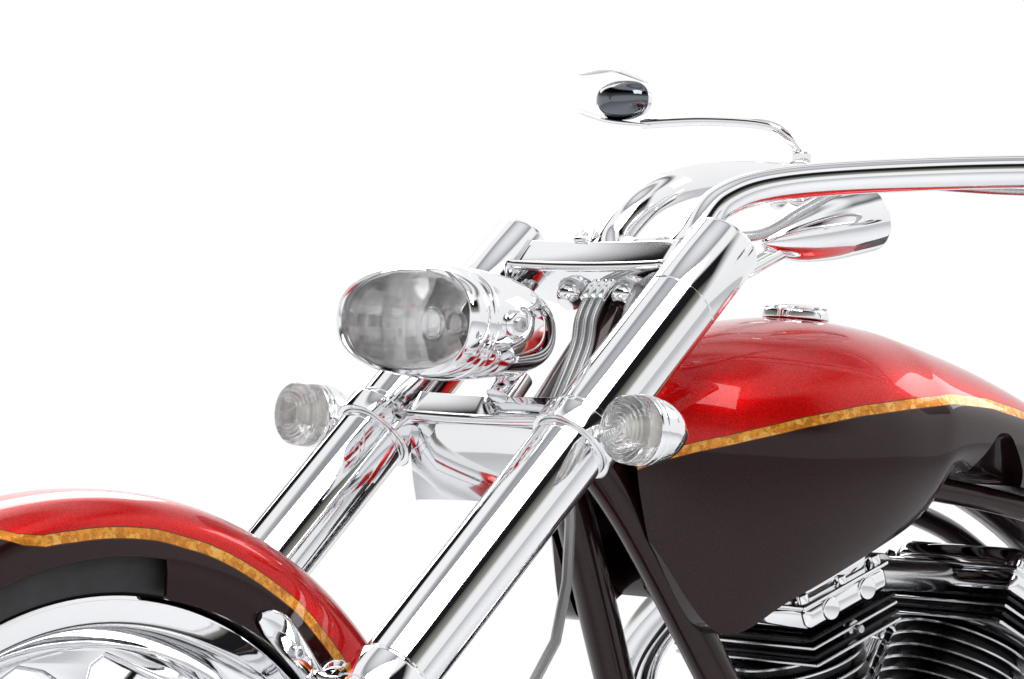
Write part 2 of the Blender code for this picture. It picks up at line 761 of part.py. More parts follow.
def make_front_fender():
    radius = FRONT_TYRE_RADIUS + FENDER_GAP + FENDER_THICK
    shell = fender(FRONT_AXLE, radius, FENDER_HALF_WIDTH, FENDER_REAR_ANGLE, FENDER_FRONT_ANGLE,
                   front_skirt, FENDER_THICK, FENDER_STATIONS)
    mounts = []
    for side in (-1, 1):
        seat = at_leg(side * (FORK_SPREAD / 2 - SLIDER_RADIUS - TOUCH), 0, FENDER_MOUNT_HEIGHT)
        bite = Vector((side * (FENDER_HALF_WIDTH - FENDER_THICK / 2) - seat.x, 0, 0))
        mounts.append(rod(seat, seat + bite, FENDER_MOUNT_RADIUS))
    finish(joined(shell, *mounts), "front_fender", CANDY_RED, steering)


FENDER_MOUNT_HEIGHT = 0.285
FENDER_MOUNT_RADIUS = 0.012


def make_front():
    for name, side in (("left", 1), ("right", -1)):
        make_fork_leg(f"{name}_fork_leg", side * FORK_SPREAD / 2)
        make_turn_signal(f"{name}_turn_signal", side)
    make_front_axle()
    make_clamps()
    make_headlight()
    make_front_fender()


make_front()


# Handlebar and what it carries

BAR_SHARES = (
    # side, back and up from the middle of the bar's base
    (0.10, 0.0, 0.0), (0.132, 0.02, 0.17), (0.128, 0.075, 0.47), (0.175, 0.175, 0.66),
    (0.35, 0.375, 0.82), (0.56, 0.60, 0.94), (0.74, 0.775, 1.0), (1.0, 1.0, 0.93))
BAR_HALF_SPAN = 0.360
BAR_REACH = 0.600
BAR_RISE = 0.115
BAR_SEAT_AHEAD = 0.019
BAR_PIECES = 3
RISER_RADIUS = 0.017


def bar_points(hand):
    seat = UPPER_CLAMP_LEVEL + CLAMP_THICK / 2 + BAR_RADIUS + TOUCH
    base = at_neck(0, BAR_SEAT_AHEAD, seat)
    return [base + Vector((hand * side * BAR_HALF_SPAN, back * BAR_REACH, up * BAR_RISE))
            for side, back, up in BAR_SHARES]


def grip_line(hand):
    """Where a grip starts and ends along the straight end of the bar."""
    points = bar_points(hand)
    end = points[-1]
    direction = (end - points[-2]).normalized()
    return end - direction * GRIP_LENGTH, end, direction


def make_handlebar():
    left = smooth_route(bar_points(1), BAR_PIECES, straight_last=True)
    right = smooth_route(bar_points(-1), BAR_PIECES, straight_last=True)
    bar = tube(right[::-1] + left, BAR_RADIUS, 2)
    risers = [rod(points[0], points[0] - STEM_UP * BAR_RADIUS, RISER_RADIUS)
              for points in (bar_points(1), bar_points(-1))]
    finish(joined(bar, *risers), "handlebar", CHROME, steering)


def make_grip(name, hand):
    start, end, direction = grip_line(hand)
    inner = bore(BAR_RADIUS)
    cap = CAP_ROUND
    total = GRIP_LENGTH + cap
    profile = [(0, total), (GRIP_RADIUS - cap, total), (GRIP_RADIUS, total - cap),
               (GRIP_RADIUS, cap), (GRIP_RADIUS + cap / 2, cap), (GRIP_RADIUS + cap / 2, 0),
               (inner, 0), (inner, GRIP_LENGTH + TOUCH), (0, GRIP_LENGTH + TOUCH)]
    finish(turned(profile, start, direction), name, RUBBER, steering)


def make_lever(name, hand):
    """The clamp on the bar, its reservoir and the lever ahead of the grip."""
    start, end, direction = grip_line(hand)
    ahead = Vector((direction.y, -direction.x, 0)).normalized() * hand
    ahead = ahead if ahead.y < 0 else -ahead
    middle = start - direction * (PERCH_LENGTH / 2 + TOUCH)
    inner = bore(BAR_RADIUS, gap=TOUCH * 3)
    half = PERCH_LENGTH / 2
    ring = turned([(inner, half), (PERCH_RADIUS, half), (PERCH_RADIUS, -half), (inner, -half)],
                  middle, direction, closed=True)
    turn = Matrix((ahead, direction, ahead.cross(direction))).transposed().to_4x4()
    inboard = direction * (RESERVOIR[1] - PERCH_LENGTH) / 2
    tank = block(middle - inboard + ahead * (PERCH_RADIUS + RESERVOIR[0] * 0.4),
                 Vector(RESERVOIR), turn, round_edge=RESERVOIR[2] / 6)
    pivot = middle + ahead * LEVER_AHEAD * 0.9
    blade = [pivot, pivot + direction * half + ahead * LEVER_AHEAD * 0.15,
             pivot + direction * LEVER_LENGTH * 0.45 + ahead * LEVER_AHEAD * 0.02,
             pivot + direction * LEVER_LENGTH]
    lever = tube(smooth_route(blade, 3), LEVER_RADIUS, 2)
    tip = rod(blade[-1] - direction * LEVER_RADIUS, blade[-1] + direction * LEVER_RADIUS,
              LEVER_RADIUS * 1.4, sides=12)
    finish(joined(ring, tank, lever, tip), name, CHROME, steering)
    return middle, ahead, direction


RESERVOIR = (0.040, 0.046, 0.026)
LEVER_RADIUS = 0.0065
MIRROR_SHARES = (
    # side, back and up along the stalk from the perch, as shares of the mirror's reach
    (0.0, 0.0, 0.0), (0.02, -0.01, 0.05), (0.20, -0.08, 0.07), (0.42, -0.14, 0.04),
    (0.50, -0.16, 0.14), (0.62, -0.18, 0.24), (0.92, -0.22, 0.35))
MIRROR_REACH = 0.200
MIRROR_STALK = 0.005


def make_mirror(name, hand, middle):
    start = middle + Vector((0, 0, bore(PERCH_RADIUS) + TOUCH))
    points = [start + Vector((hand * side, back, up)) * MIRROR_REACH
              for side, back, up in MIRROR_SHARES]
    stalk = tube(smooth_route(points, 2), MIRROR_STALK, 2)
    centre = points[-1] + Vector((hand * MIRROR_WIDTH * 0.25, 0, MIRROR_HEIGHT * 0.4))
    head = block(centre, Vector((MIRROR_WIDTH, MIRROR_THICK, MIRROR_HEIGHT)),
                 Matrix.Rotation(-hand * radians(12), 4, "Z"), round_edge=MIRROR_THICK * 0.3)
    finish(joined(head, stalk), name, CHROME, steering)


GAUGE_BACK = 0.304
GAUGE_OVER_TANK = 0.0834
GAUGE_TILT = radians(14)
GAUGE_ARM_RADIUS = 0.008


def make_gauge():
    """The bullet-shaped dial housing on an arm behind the upper clamp."""
    centre = Vector((0, NECK.y + GAUGE_BACK, TANK_FLOOR + TANK_HEIGHT + GAUGE_OVER_TANK))
    back = Vector((0, cos(GAUGE_TILT), sin(GAUGE_TILT)))
    half = GAUGE_LENGTH / 2
    radius = GAUGE_RADIUS
    body = turned([(0, half), (radius * 0.86, half), (radius, half * 0.9), (radius, half * 0.62),
                   (radius * 0.97, half * 0.2), (radius * 0.80, -half * 0.35),
                   (radius * 0.46, -half * 0.78), (0, -half)], centre, back)
    seat = UPPER_CLAMP_LEVEL + CLAMP_THICK / 2 + TOUCH
    foot = at_neck(0, -CLAMP_REAR / 2, seat)
    route = [foot + STEM_UP * BAR_RADIUS, along(foot, centre, 0.45) - STEM_UP * GAUGE_RADIUS / 2,
             centre - back * half * 0.8 - Vector((0, 0, radius * 0.4)), centre]
    arm = tube([foot] + smooth_route(route, 3), GAUGE_ARM_RADIUS, 2)
    finish(joined(body, arm), "gauge_pod", CHROME, steering)


def make_front_brake():
    side = FRONT_HUB_WIDTH / 2 + DISC_OFFSET
    inner = TOUCH - DISC_OFFSET
    half = DISC_THICK / 2
    sleeve = SPACER_RADIUS + RUNNING_GAP
    profile = [(sleeve, half), (FRONT_DISC_RADIUS, half), (FRONT_DISC_RADIUS, -half),
               (HUB_RADIUS, -half), (HUB_RADIUS, inner), (sleeve, inner)]
    disc = turned(profile, FRONT_AXLE + ACROSS * side, ACROSS, WHEEL_STEPS, closed=True)
    finish(disc, "front_disc", STEEL, front_wheel)


DISC_THICK = 0.005
DISC_OFFSET = 0.004
FRONT_DISC_RADIUS = 0.146


def make_controls():
    make_handlebar()
    make_gauge()
    for name, hand in (("left", 1), ("right", -1)):
        make_grip(f"{name}_grip", hand)
        lever = "clutch_lever" if hand > 0 else "brake_lever"
        middle, _, _ = make_lever(lever, hand)
        make_mirror(f"{name}_mirror", hand, middle)


make_controls()


# Frame

RAIL_HALF_REAR = 0.1485
DOWNTUBE_SHARES = (
    # side share of the cradle's half width, then back and up from the neck's foot to the cradle
    (0.13, 0.0, 0.0), (0.28, 0.14, 0.10), (0.50, 0.36, 0.30), (0.80, 0.68, 0.60),
    (0.97, 0.90, 0.86), (1.0, 1.0, 0.97))
CRADLE_FRONT_Y = 0.830
CRADLE_REAR_Y = 1.150
UPRIGHT_HALF = 0.095
UPRIGHT_Y = 1.300
SPINE_SHARES = (
    # back and up as shares of the tank's length and height
    (0.192, 0.7286), (0.4733, 0.6679), (0.7546, 0.55), (0.9733, 0.30))
SPINE_REAR = (
    # ahead of the pivot and above it
    (0.085, 0.200), (0.035, 0.070), (0.010, -0.010))
RAIL_HALVES = (0.085, 0.092, 0.097, 0.104)
RAIL_SHARES = (
    # back and up as shares of the tank's length and height
    (0.5358, 0.4993), (0.7077, 0.4554), (0.8952, 0.3679), (1.0983, 0.1821))
RAIL_REAR = (
    # side, ahead of the rear axle and above it
    (0.125, 0.520, 0.275), (0.149, 0.320, 0.279), (0.149, 0.040, 0.287))
HANGER_CROSS = (0.0855, 0.5389, 0.4964)
SEAT_CROSS = (0.105, 1.1170, 0.1571)
CRADLE_CROSS_INSET = 0.015
HANGER_RISE = 0.040
STRUT_RADIUS = 0.011
PIVOT_BOSS_RADIUS = 0.022
PIVOT_BOSS_HALF = 0.152
CROSS_RADIUS = 0.013
NECK_FOOT = -0.034
NECK_TOP = 0.110
NECK_BORE = 0.0127


def mirrored(points):
    return [Vector((-point.x, point.y, point.z)) for point in points]


def downtube_route():
    start = at_neck(0, -NECK_RADIUS * 0.6, NECK_FOOT + TUBE_RADIUS)
    end = Vector((CRADLE_HALF, CRADLE_FRONT_Y, CRADLE_HEIGHT))
    points = [Vector((side * CRADLE_HALF, along(start.y, end.y, back),
                      along(start.z, end.z, drop)))
              for side, back, drop in DOWNTUBE_SHARES]
    points[-1] = end
    rear = [Vector((CRADLE_HALF, CRADLE_REAR_Y, CRADLE_HEIGHT)),
            Vector((along(CRADLE_HALF, UPRIGHT_HALF, 0.5), along(CRADLE_REAR_Y, UPRIGHT_Y, 0.8),
                    along(CRADLE_HEIGHT, PIVOT_HEIGHT, 0.3))),
            Vector((UPRIGHT_HALF, UPRIGHT_Y, PIVOT_HEIGHT)),
            Vector((UPRIGHT_HALF, along(UPRIGHT_Y, 1.2, 0.35), 0.52)),
            Vector((UPRIGHT_HALF, 1.215, 0.610))]
    return points + rear


def under_tank(side, back, up):
    """A point given by shares of the tank's length and height."""
    return Vector((side, TANK_NOSE + back * TANK_LENGTH, TANK_FLOOR + up * TANK_HEIGHT))


def side_rail_route():
    points = [under_tank(side, *shares) for side, shares in zip(RAIL_HALVES, RAIL_SHARES)]
    return points + [REAR_AXLE + Vector((side, -ahead, up)) for side, ahead, up in RAIL_REAR]


def frame_crosses():
    """The right-hand ends of the tubes that run straight across."""
    rail = side_rail_route()[len(RAIL_SHARES)]
    return [under_tank(*HANGER_CROSS), under_tank(*SEAT_CROSS), rail,
            Vector((CRADLE_HALF, CRADLE_FRONT_Y + CRADLE_CROSS_INSET, CRADLE_HEIGHT)),
            Vector((CRADLE_HALF, CRADLE_REAR_Y - CRADLE_CROSS_INSET, CRADLE_HEIGHT)),
            Vector((UPRIGHT_HALF, UPRIGHT_Y + TOUCH, PIVOT_HEIGHT))]


def stand_bracket():
    """The lug under the left cradle tube and the pin that the side stand turns on."""
    seat = STAND_PIVOT - STAND_AXIS * (STAND_EYE_HALF + TOUCH)
    inward = (STAND_AXIS.cross(Vector((0, 1, 0)))).normalized()
    inward = inward if inward.x < 0 else -inward
    turn = Matrix((inward, STAND_AXIS.cross(inward), STAND_AXIS)).transposed().to_4x4()
    reach = STAND_EYE_RADIUS + LUG_REACH
    lug = block(seat + inward * (LUG_REACH - STAND_EYE_RADIUS) / 2 - STAND_AXIS * LUG_THICK / 2,
                Vector((reach, 2 * STAND_EYE_RADIUS, LUG_THICK)), turn)
    pin = rod(seat - STAND_AXIS * LUG_THICK / 2,
              STAND_PIVOT + STAND_AXIS * (STAND_EYE_HALF + LUG_THICK / 2), STAND_PIN_RADIUS)
    return [lug, pin]


def make_frame():
    neck = rod(at_neck(0, 0, NECK_FOOT), at_neck(0, 0, NECK_TOP), NECK_RADIUS)
    spine = [at_neck(0, -NECK_RADIUS * 0.5, NECK_TOP * 0.45)]
    spine += [under_tank(0, *shares) for shares in SPINE_SHARES]
    spine += [Vector((0, PIVOT_Y - ahead, PIVOT_HEIGHT + up)) for ahead, up in SPINE_REAR]
    backbone = tube(smooth_route(spine, 2), BACKBONE_RADIUS)
    pieces = [backbone]
    for hand in (1, -1):
        rail = smooth_route(side_rail_route(), 2)
        down = smooth_route(downtube_route(), 2)
        if hand < 0:
            rail, down = mirrored(rail), mirrored(down)
        pieces += [tube(down, TUBE_RADIUS, 2), tube(rail, STRUT_RADIUS, 2)]
        boss = [Vector((hand * side, PIVOT_Y, PIVOT_HEIGHT)) for side in
                (UPRIGHT_HALF - TUBE_RADIUS / 2, PIVOT_BOSS_HALF)]
        pieces.append(rod(*boss, PIVOT_BOSS_RADIUS))
    crosses = frame_crosses()
    for end in crosses:
        pieces.append(rod(Vector((-end.x, end.y, end.z)), end, CROSS_RADIUS, sides=12))
    hanger = Vector((0, crosses[0].y, crosses[0].z))
    pieces.append(rod(hanger, hanger + Vector((0, 0, HANGER_RISE)), CROSS_RADIUS, sides=12))
    frame = joined(neck, *pieces, *stand_bracket())
    steer_bore = rod(at_neck(0, 0, NECK_FOOT - OVERRUN), at_neck(0, 0, NECK_TOP + OVERRUN),
                     bore(NECK_BORE))
    finish(cut(frame, steer_bore), "frame", MAROON, chassis)


make_frame()


# Tank, seat and rear fender

TANK_SHARES = (
    # back, top, widest level, floor, half width, half width of the floor
    (0.00, 0.690, 0.56, 0.43, 0.30, 0.22), (0.05, 0.836, 0.56, 0.28, 0.49, 0.40),
    (0.13, 0.907, 0.56, 0.03, 0.76, 0.62), (0.223, 0.960, 0.56, 0.14, 0.92, 0.78),
    (0.348, 1.0, 0.58, 0.29, 1.0, 0.86), (0.440, 0.995, 0.60, 0.41, 1.0, 0.88),
    (0.500, 0.975, 0.64, 0.545, 0.97, 0.88), (0.62, 0.915, 0.66, 0.535, 0.88, 0.82),
    (0.74, 0.83, 0.66, 0.490, 0.76, 0.70), (0.86, 0.735, 0.60, 0.450, 0.60, 0.54),
    (0.96, 0.65, 0.53, 0.430, 0.38, 0.33), (1.00, 0.60, 0.51, 0.425, 0.24, 0.20))
TANK_STEPS = 5
TANK_CROWN = 2.15
TUNNEL_SHARES = (
    # back, half width, shoulder and roof above the tank's floor level
    (-0.05, 0.68, 0.53, 0.855), (0.05, 0.74, 0.50, 0.855), (0.14, 0.93, 0.36, 0.855),
    (0.22, 0.90, 0.08, 0.852), (0.46, 0.90, 0.05, 0.790), (0.60, 0.60, 0.05, 0.740),
    (0.75, 0.60, 0.05, 0.690), (1.05, 0.60, 0.05, 0.390))
TUNNEL_ROOF_SHARE = 0.45
ARCH_SHARES = (
    # back from the middle and up from the base of the side opening
    (-0.50, -0.60), (0.50, -0.60), (0.46, 0.10), (0.16, 0.86), (0.07, 1.0), (-0.07, 1.0),
    (-0.16, 0.86), (-0.46, 0.10))
ARCH_MIDDLE = 0.879
ARCH_BASE = 0.733
ARCH_WIDTH = 0.098
ARCH_HEIGHT = 0.040
NECK_SLOT_HALF = 0.040
NECK_SLOT_SHARE = 0.125


def tank_ring(back, top, widest, floor, half, floor_half):
    """Half of a tank section from the top to the floor, mirrored to close it."""
    y = TANK_NOSE + back * TANK_LENGTH
    top, widest, floor = (TANK_FLOOR + share * TANK_HEIGHT for share in (top, widest, floor))
    half, floor_half = half * TANK_HALF_WIDTH, floor_half * TANK_HALF_WIDTH
    right = []
    for i in range(TANK_STEPS + 1):
        turn = pi / 2 * i / TANK_STEPS
        right.append((half * sin(turn) ** (2 / TANK_CROWN),
                      widest + (top - widest) * cos(turn) ** (2 / TANK_CROWN)))
    for share in (0.4, 0.8, 1.0):
        turn = pi / 2 * share
        right.append((floor_half + (half - floor_half) * cos(turn),
                      along(widest, floor, share)))
    left = [(-side, up) for side, up in reversed(right) if side > WELD]
    return [Vector((side, y, up)) for side, up in right + left]


def make_tank():
    tank = loft([tank_ring(*row) for row in TANK_SHARES])
    rings = []
    narrow = TUNNEL_HALF * TUNNEL_ROOF_SHARE
    under = TANK_FLOOR - OVERRUN
    for back, half, shoulder, roof in TUNNEL_SHARES:
        y = TANK_NOSE + back * TANK_LENGTH
        shoulder, roof = (TANK_FLOOR + share * TANK_HEIGHT for share in (shoulder, roof))
        half *= TUNNEL_HALF
        rings.append([Vector((side, y, up)) for side, up in
                      ((-half, under), (half, under), (half, shoulder), (narrow, shoulder),
                       (narrow, roof), (-narrow, roof), (-narrow, shoulder), (-half, shoulder))])
    slot_length = TANK_LENGTH * (NECK_SLOT_SHARE + 0.1)
    slot_centre = Vector((0, TANK_NOSE + TANK_LENGTH * NECK_SLOT_SHARE
                          - slot_length / 2, TANK_FLOOR + TANK_HEIGHT / 2))
    slot = block(slot_centre, Vector((2 * NECK_SLOT_HALF, slot_length, 2 * TANK_HEIGHT)))
    arch = plate([[(ARCH_MIDDLE + back * ARCH_WIDTH, ARCH_BASE + up * ARCH_HEIGHT)
                   for back, up in ARCH_SHARES]], 4 * TANK_HALF_WIDTH, side_plane(0))
    finish(cut(tank, loft(rings), slot, arch), "fuel_tank", CANDY_RED, chassis)
    cap_y = TANK_NOSE + TANK_LENGTH * CAP_SHARE
    top = TANK_FLOOR + TANK_HEIGHT * CAP_TOP_SHARE
    tilt = Vector((0, CAP_SLOPE_SHARE, 1)).normalized()
    profile = [(0, FUEL_CAP_HEIGHT), (FUEL_CAP_RADIUS * 0.7, FUEL_CAP_HEIGHT),
               (FUEL_CAP_RADIUS, FUEL_CAP_HEIGHT * 0.5), (FUEL_CAP_RADIUS, TOUCH), (0, TOUCH)]
    finish(turned(profile, Vector((0, cap_y, top)), tilt), "fuel_cap", CHROME, chassis)


CAP_SHARE = 0.394
CAP_TOP_SHARE = 0.9975
CAP_SLOPE_SHARE = 0.0238
FUEL_CAP_RADIUS = 0.030
FUEL_CAP_HEIGHT = 0.014

SEAT_SECTIONS = (
    # back, top, bottom, half width
    (1.147, 0.735, 0.700, 0.055), (1.20, 0.730, 0.662, 0.085), (1.28, 0.708, 0.634, 0.125),
    (1.40, 0.694, 0.6128, 0.150), (1.48, 0.706, 0.620, 0.155), (1.55, 0.734, 0.633, 0.140),
    (1.60, 0.750, 0.650, 0.105))


def make_seat():
    rings = []
    for back, top, bottom, half in SEAT_SECTIONS:
        centre = Vector((0, back, (top + bottom) / 2))
        rings.append(ellipse_ring(centre, half, (top - bottom) / 2, 3.2, 16))
    finish(loft(rings), "seat", LEATHER, chassis)


def rear_skirt(share):
    return REAR_SKIRT


REAR_SKIRT = 0.080
REAR_FENDER_FIRST = radians(22)
REAR_FENDER_LAST = radians(152)


def make_rear_fender():
    radius = REAR_TYRE_RADIUS + REAR_FENDER_GAP + FENDER_THICK
    half = RAIL_REAR[-1][0] - STRUT_RADIUS - TOUCH
    shell = fender(REAR_AXLE, radius, half, REAR_FENDER_FIRST, REAR_FENDER_LAST, rear_skirt,
                   FENDER_THICK, REAR_FENDER_STATIONS)
    finish(shell, "rear_fender", CANDY_RED, chassis)
    outward = fender_ridge(LAMP_STATION)
    centre = REAR_AXLE + outward * (radius + TAIL_LAMP[2] / 2 + TOUCH)
    turn = Matrix((ACROSS, outward.cross(ACROSS), outward)).transposed().to_4x4()
    finish(block(centre, Vector(TAIL_LAMP), turn, round_edge=TAIL_LAMP[2] * 0.3), "tail_light",
           RED_LENS, chassis)
    outward = fender_ridge(PLATE_STATION)
    seat = REAR_AXLE + outward * (radius + TOUCH)
    centre = seat + outward * PLATE_STANDOFF
    bracket = rod(seat, centre, PLATE_BRACKET_RADIUS)
    sheet = block(centre, Vector((PLATE_SIZE[0], PLATE_SIZE[2], PLATE_SIZE[1])),
                  Matrix.Rotation(PLATE_TILT, 4, "X"))
    finish(joined(sheet, bracket), "number_plate", STEEL, chassis)


def fender_ridge(station):
    """Outward direction at one of the rear fender's sections."""
    angle = along(REAR_FENDER_FIRST, REAR_FENDER_LAST, station / REAR_FENDER_STATIONS)
    return Vector((0, cos(angle), sin(angle)))


LAMP_STATION = 2
PLATE_STATION = 1
PLATE_BRACKET_RADIUS = 0.010
PLATE_TILT = radians(12)
TAIL_LAMP = (0.110, 0.045, 0.030)
PLATE_SIZE = (0.180, 0.110, 0.004)
PLATE_STANDOFF = 0.030


# Engine and drive

def cylinder_axis(hand):
    """Unit vector up a cylinder: hand -1 is the front one, leaning forward."""
    return Vector((0, hand * sin(CYLINDER_LEAN), cos(CYLINDER_LEAN)))


def make_cylinder(name, hand):
    axis = cylinder_axis(hand)
    pitch = BARREL_LENGTH / FIN_COUNT
    profile = []
    for i in range(FIN_COUNT):
        top = BARREL_LENGTH - i * pitch
        profile += [(FIN_RADIUS, top), (FIN_RADIUS, top - pitch * 0.35),
                    (CYLINDER_RADIUS, top - pitch * 0.45), (CYLINDER_RADIUS, top - pitch * 0.9)]
    profile = [(0, BARREL_LENGTH)] + profile[:-1] + [(CYLINDER_RADIUS, 0), (0, 0)]
    start = CRANK + axis * (BARREL_START + TOUCH)
    finish(turned(profile, start, axis, FIN_STEPS), name, BLACK_METAL, chassis)


def head_block(hand, grow=0, round_edge=0):
    """The block over a cylinder, grown all round where it is a cutter."""
    axis = cylinder_axis(hand)
    base = BARREL_START + BARREL_LENGTH + 3 * TOUCH
    turn = Matrix((ACROSS, axis.cross(ACROSS), axis)).transposed().to_4x4()
    size = Vector((ROCKER_WIDTH, ROCKER_DEPTH, HEAD_HEIGHT)) + Vector((2, 2, 2)) * grow
    return block(CRANK + axis * (base + HEAD_HEIGHT / 2), size, turn, round_edge)


def make_rocker_box(name, hand):
    finish(head_block(hand, round_edge=ROCKER_DEPTH * 0.12), name, CHROME, chassis)


ROCKER_WIDTH = 0.172
ROCKER_DEPTH = 0.112


def make_crankcase():
    """The case under both cylinders, with a sloping seat for each."""
    seat = BARREL_START - TOUCH
    ridge = CRANK.z + seat / cos(CYLINDER_LEAN)
    points = [(CRANK.y, ridge)]
    for hand in (1, -1):
        axis = cylinder_axis(hand)
        across = Vector((0, axis.z, -axis.y)) * hand
        corner = CRANK + axis * seat + across * FIN_RADIUS
        low = [(corner.y, corner.z), (CRANK.y + hand * CASE_RADIUS, CRANK.z),
               (CRANK.y + hand * CASE_RADIUS * 0.72, CRANK.z - CASE_RADIUS * 0.8),
               (CRANK.y + hand * CASE_RADIUS * 0.45, CASE_FLOOR)]
        points = points + low if hand > 0 else points + low[::-1]
    case = plate([points], 2 * CASE_HALF, side_plane(0))
    finish(case, "crankcase", BLACK_METAL, chassis)


CASE_RADIUS = 0.135
CASE_FLOOR = CRADLE_HEIGHT + CROSS_RADIUS + TOUCH


def obround(start, start_radius, end, end_radius, steps):
    """Two circles in the side view and the straight lines that wrap them."""
    points = []
    delta = (end[0] - start[0], end[1] - start[1])
    length = sqrt(delta[0] ** 2 + delta[1] ** 2)
    heading = atan2(delta[1], delta[0])
    tilt = asin((start_radius - end_radius) / length)
    first = pi / 2 - tilt
    for i in range(steps + 1):
        turn = heading - first + (2 * first) * i / steps
        points.append((end[0] + end_radius * cos(turn), end[1] + end_radius * sin(turn)))
    second = pi - first
    for i in range(steps + 1):
        turn = heading + first + (2 * second) * i / steps
        points.append((start[0] + start_radius * cos(turn),
                       start[1] + start_radius * sin(turn)))
    return points


GEARBOX_Y = 1.130
GEARBOX_HEIGHT = 0.345
PRIMARY_DEPTH = 0.062
PRIMARY_FRONT_RADIUS = 0.088
PRIMARY_REAR_RADIUS = 0.098
BELT_SIDE = -0.140
BELT_WIDTH = 0.022
BELT_THICK = 0.006
REAR_PULLEY_RADIUS = 0.108
FRONT_PULLEY_RADIUS = 0.042
GEARBOX_SIZE = (0.170, 0.140, 0.165)
CAM_DEPTH = 0.034
CAM_RADIUS = 0.068
PUSHROD_RADIUS = 0.008
PUSHROD_SIDE = -0.078
PUSHROD_OFFSETS = (0.004, 0.022)


def make_primary():
    inner = CASE_HALF + TOUCH
    outline = obround((CRANK.y, CRANK.z), PRIMARY_FRONT_RADIUS, (GEARBOX_Y, GEARBOX_HEIGHT),
                      PRIMARY_REAR_RADIUS, 9)
    base = plate([outline], PRIMARY_DEPTH * 0.75,
                 side_plane(inner + PRIMARY_DEPTH * 0.375))
    raised = obround((CRANK.y, CRANK.z), PRIMARY_FRONT_RADIUS * 0.84,
                     (GEARBOX_Y, GEARBOX_HEIGHT), PRIMARY_REAR_RADIUS * 0.84, 9)
    dome = plate([raised], PRIMARY_DEPTH, side_plane(inner + PRIMARY_DEPTH / 2))
    finish(joined(base, dome), "primary_cover", CHROME, chassis)


def make_gearbox():
    centre = Vector((0, GEARBOX_Y, GEARBOX_HEIGHT))
    box = block(centre, Vector((2 * CASE_HALF, *GEARBOX_SIZE[1:])),
                round_edge=GEARBOX_SIZE[2] * 0.1)
    shaft_end = Vector((BELT_SIDE - BELT_WIDTH * 0.7, GEARBOX_Y, GEARBOX_HEIGHT))
    shaft = rod(centre, shaft_end, PUSHROD_RADIUS * 2)
    pulley = rod(Vector((BELT_SIDE - BELT_WIDTH / 2, GEARBOX_Y, GEARBOX_HEIGHT)),
                 Vector((BELT_SIDE + BELT_WIDTH / 2, GEARBOX_Y, GEARBOX_HEIGHT)),
                 FRONT_PULLEY_RADIUS)
    finish(joined(box, shaft, pulley), "gearbox", POLISHED, chassis)


def make_belt():
    front, rear = (GEARBOX_Y, GEARBOX_HEIGHT), (REAR_AXLE.y, REAR_AXLE.z)
    gap = RUNNING_GAP / 10
    inner = obround(front, bore(FRONT_PULLEY_RADIUS, 20, gap), rear,
                    bore(REAR_PULLEY_RADIUS, 20, gap), 10)
    outer = obround(front, bore(FRONT_PULLEY_RADIUS, 20, gap) + BELT_THICK, rear,
                    bore(REAR_PULLEY_RADIUS, 20, gap) + BELT_THICK, 10)
    finish(plate([outer, inner], BELT_WIDTH, side_plane(BELT_SIDE)), "drive_belt", RUBBER,
           chassis)


def make_rear_pulley():
    inner = -(REAR_HUB_WIDTH / 2 + TOUCH) - BELT_SIDE
    half = BELT_WIDTH / 2
    sleeve = SPACER_RADIUS + RUNNING_GAP
    profile = [(sleeve, inner), (HUB_RADIUS, inner), (HUB_RADIUS, half),
               (REAR_PULLEY_RADIUS, half), (REAR_PULLEY_RADIUS, -half), (sleeve, -half)]
    centre = REAR_AXLE + Vector((BELT_SIDE, 0, 0))
    finish(turned(profile, centre, ACROSS, WHEEL_STEPS, closed=True), "rear_pulley", STEEL,
           rear_wheel)


def make_cam_cover():
    """The cam cover low on the right, with the pushrod tubes that rise from it."""
    inner = -(CASE_HALF + TOUCH)
    cover = plate([obround((CRANK.y - CAM_RADIUS * 0.2, CRANK.z), CAM_RADIUS,
                           (CRANK.y, CRANK.z + CAM_RADIUS * 0.7), CAM_RADIUS * 0.9, 9)],
                  CAM_DEPTH, side_plane(inner - CAM_DEPTH / 2))
    pieces = []
    for hand in (-1, 1):
        axis = cylinder_axis(hand)
        across = Vector((0, axis.z, -axis.y)) * hand
        top = BARREL_START + BARREL_LENGTH + 2 * TOUCH
        for offset in PUSHROD_OFFSETS:
            foot = CRANK + axis * CAM_RADIUS * 1.2 - across * offset
            foot.x = PUSHROD_SIDE - CAM_DEPTH * 0.6
            knee = CRANK + axis * (BARREL_START * 1.06) - across * offset
            knee.x = -CASE_HALF - PUSHROD_RADIUS * 1.2
            head = CRANK + axis * top - across * offset
            head.x = PUSHROD_SIDE
            pieces.append(tube([foot, knee, head], PUSHROD_RADIUS, 2))
    finish(joined(cover, *pieces), "cam_cover", CHROME, chassis)


AIR_CLEANER_RADIUS = 0.068
AIR_CLEANER_DEPTH = 0.050
AIR_CLEANER_SIDE = -0.108
INTAKE_HEIGHT = 0.640
INTAKE_RADIUS = 0.014


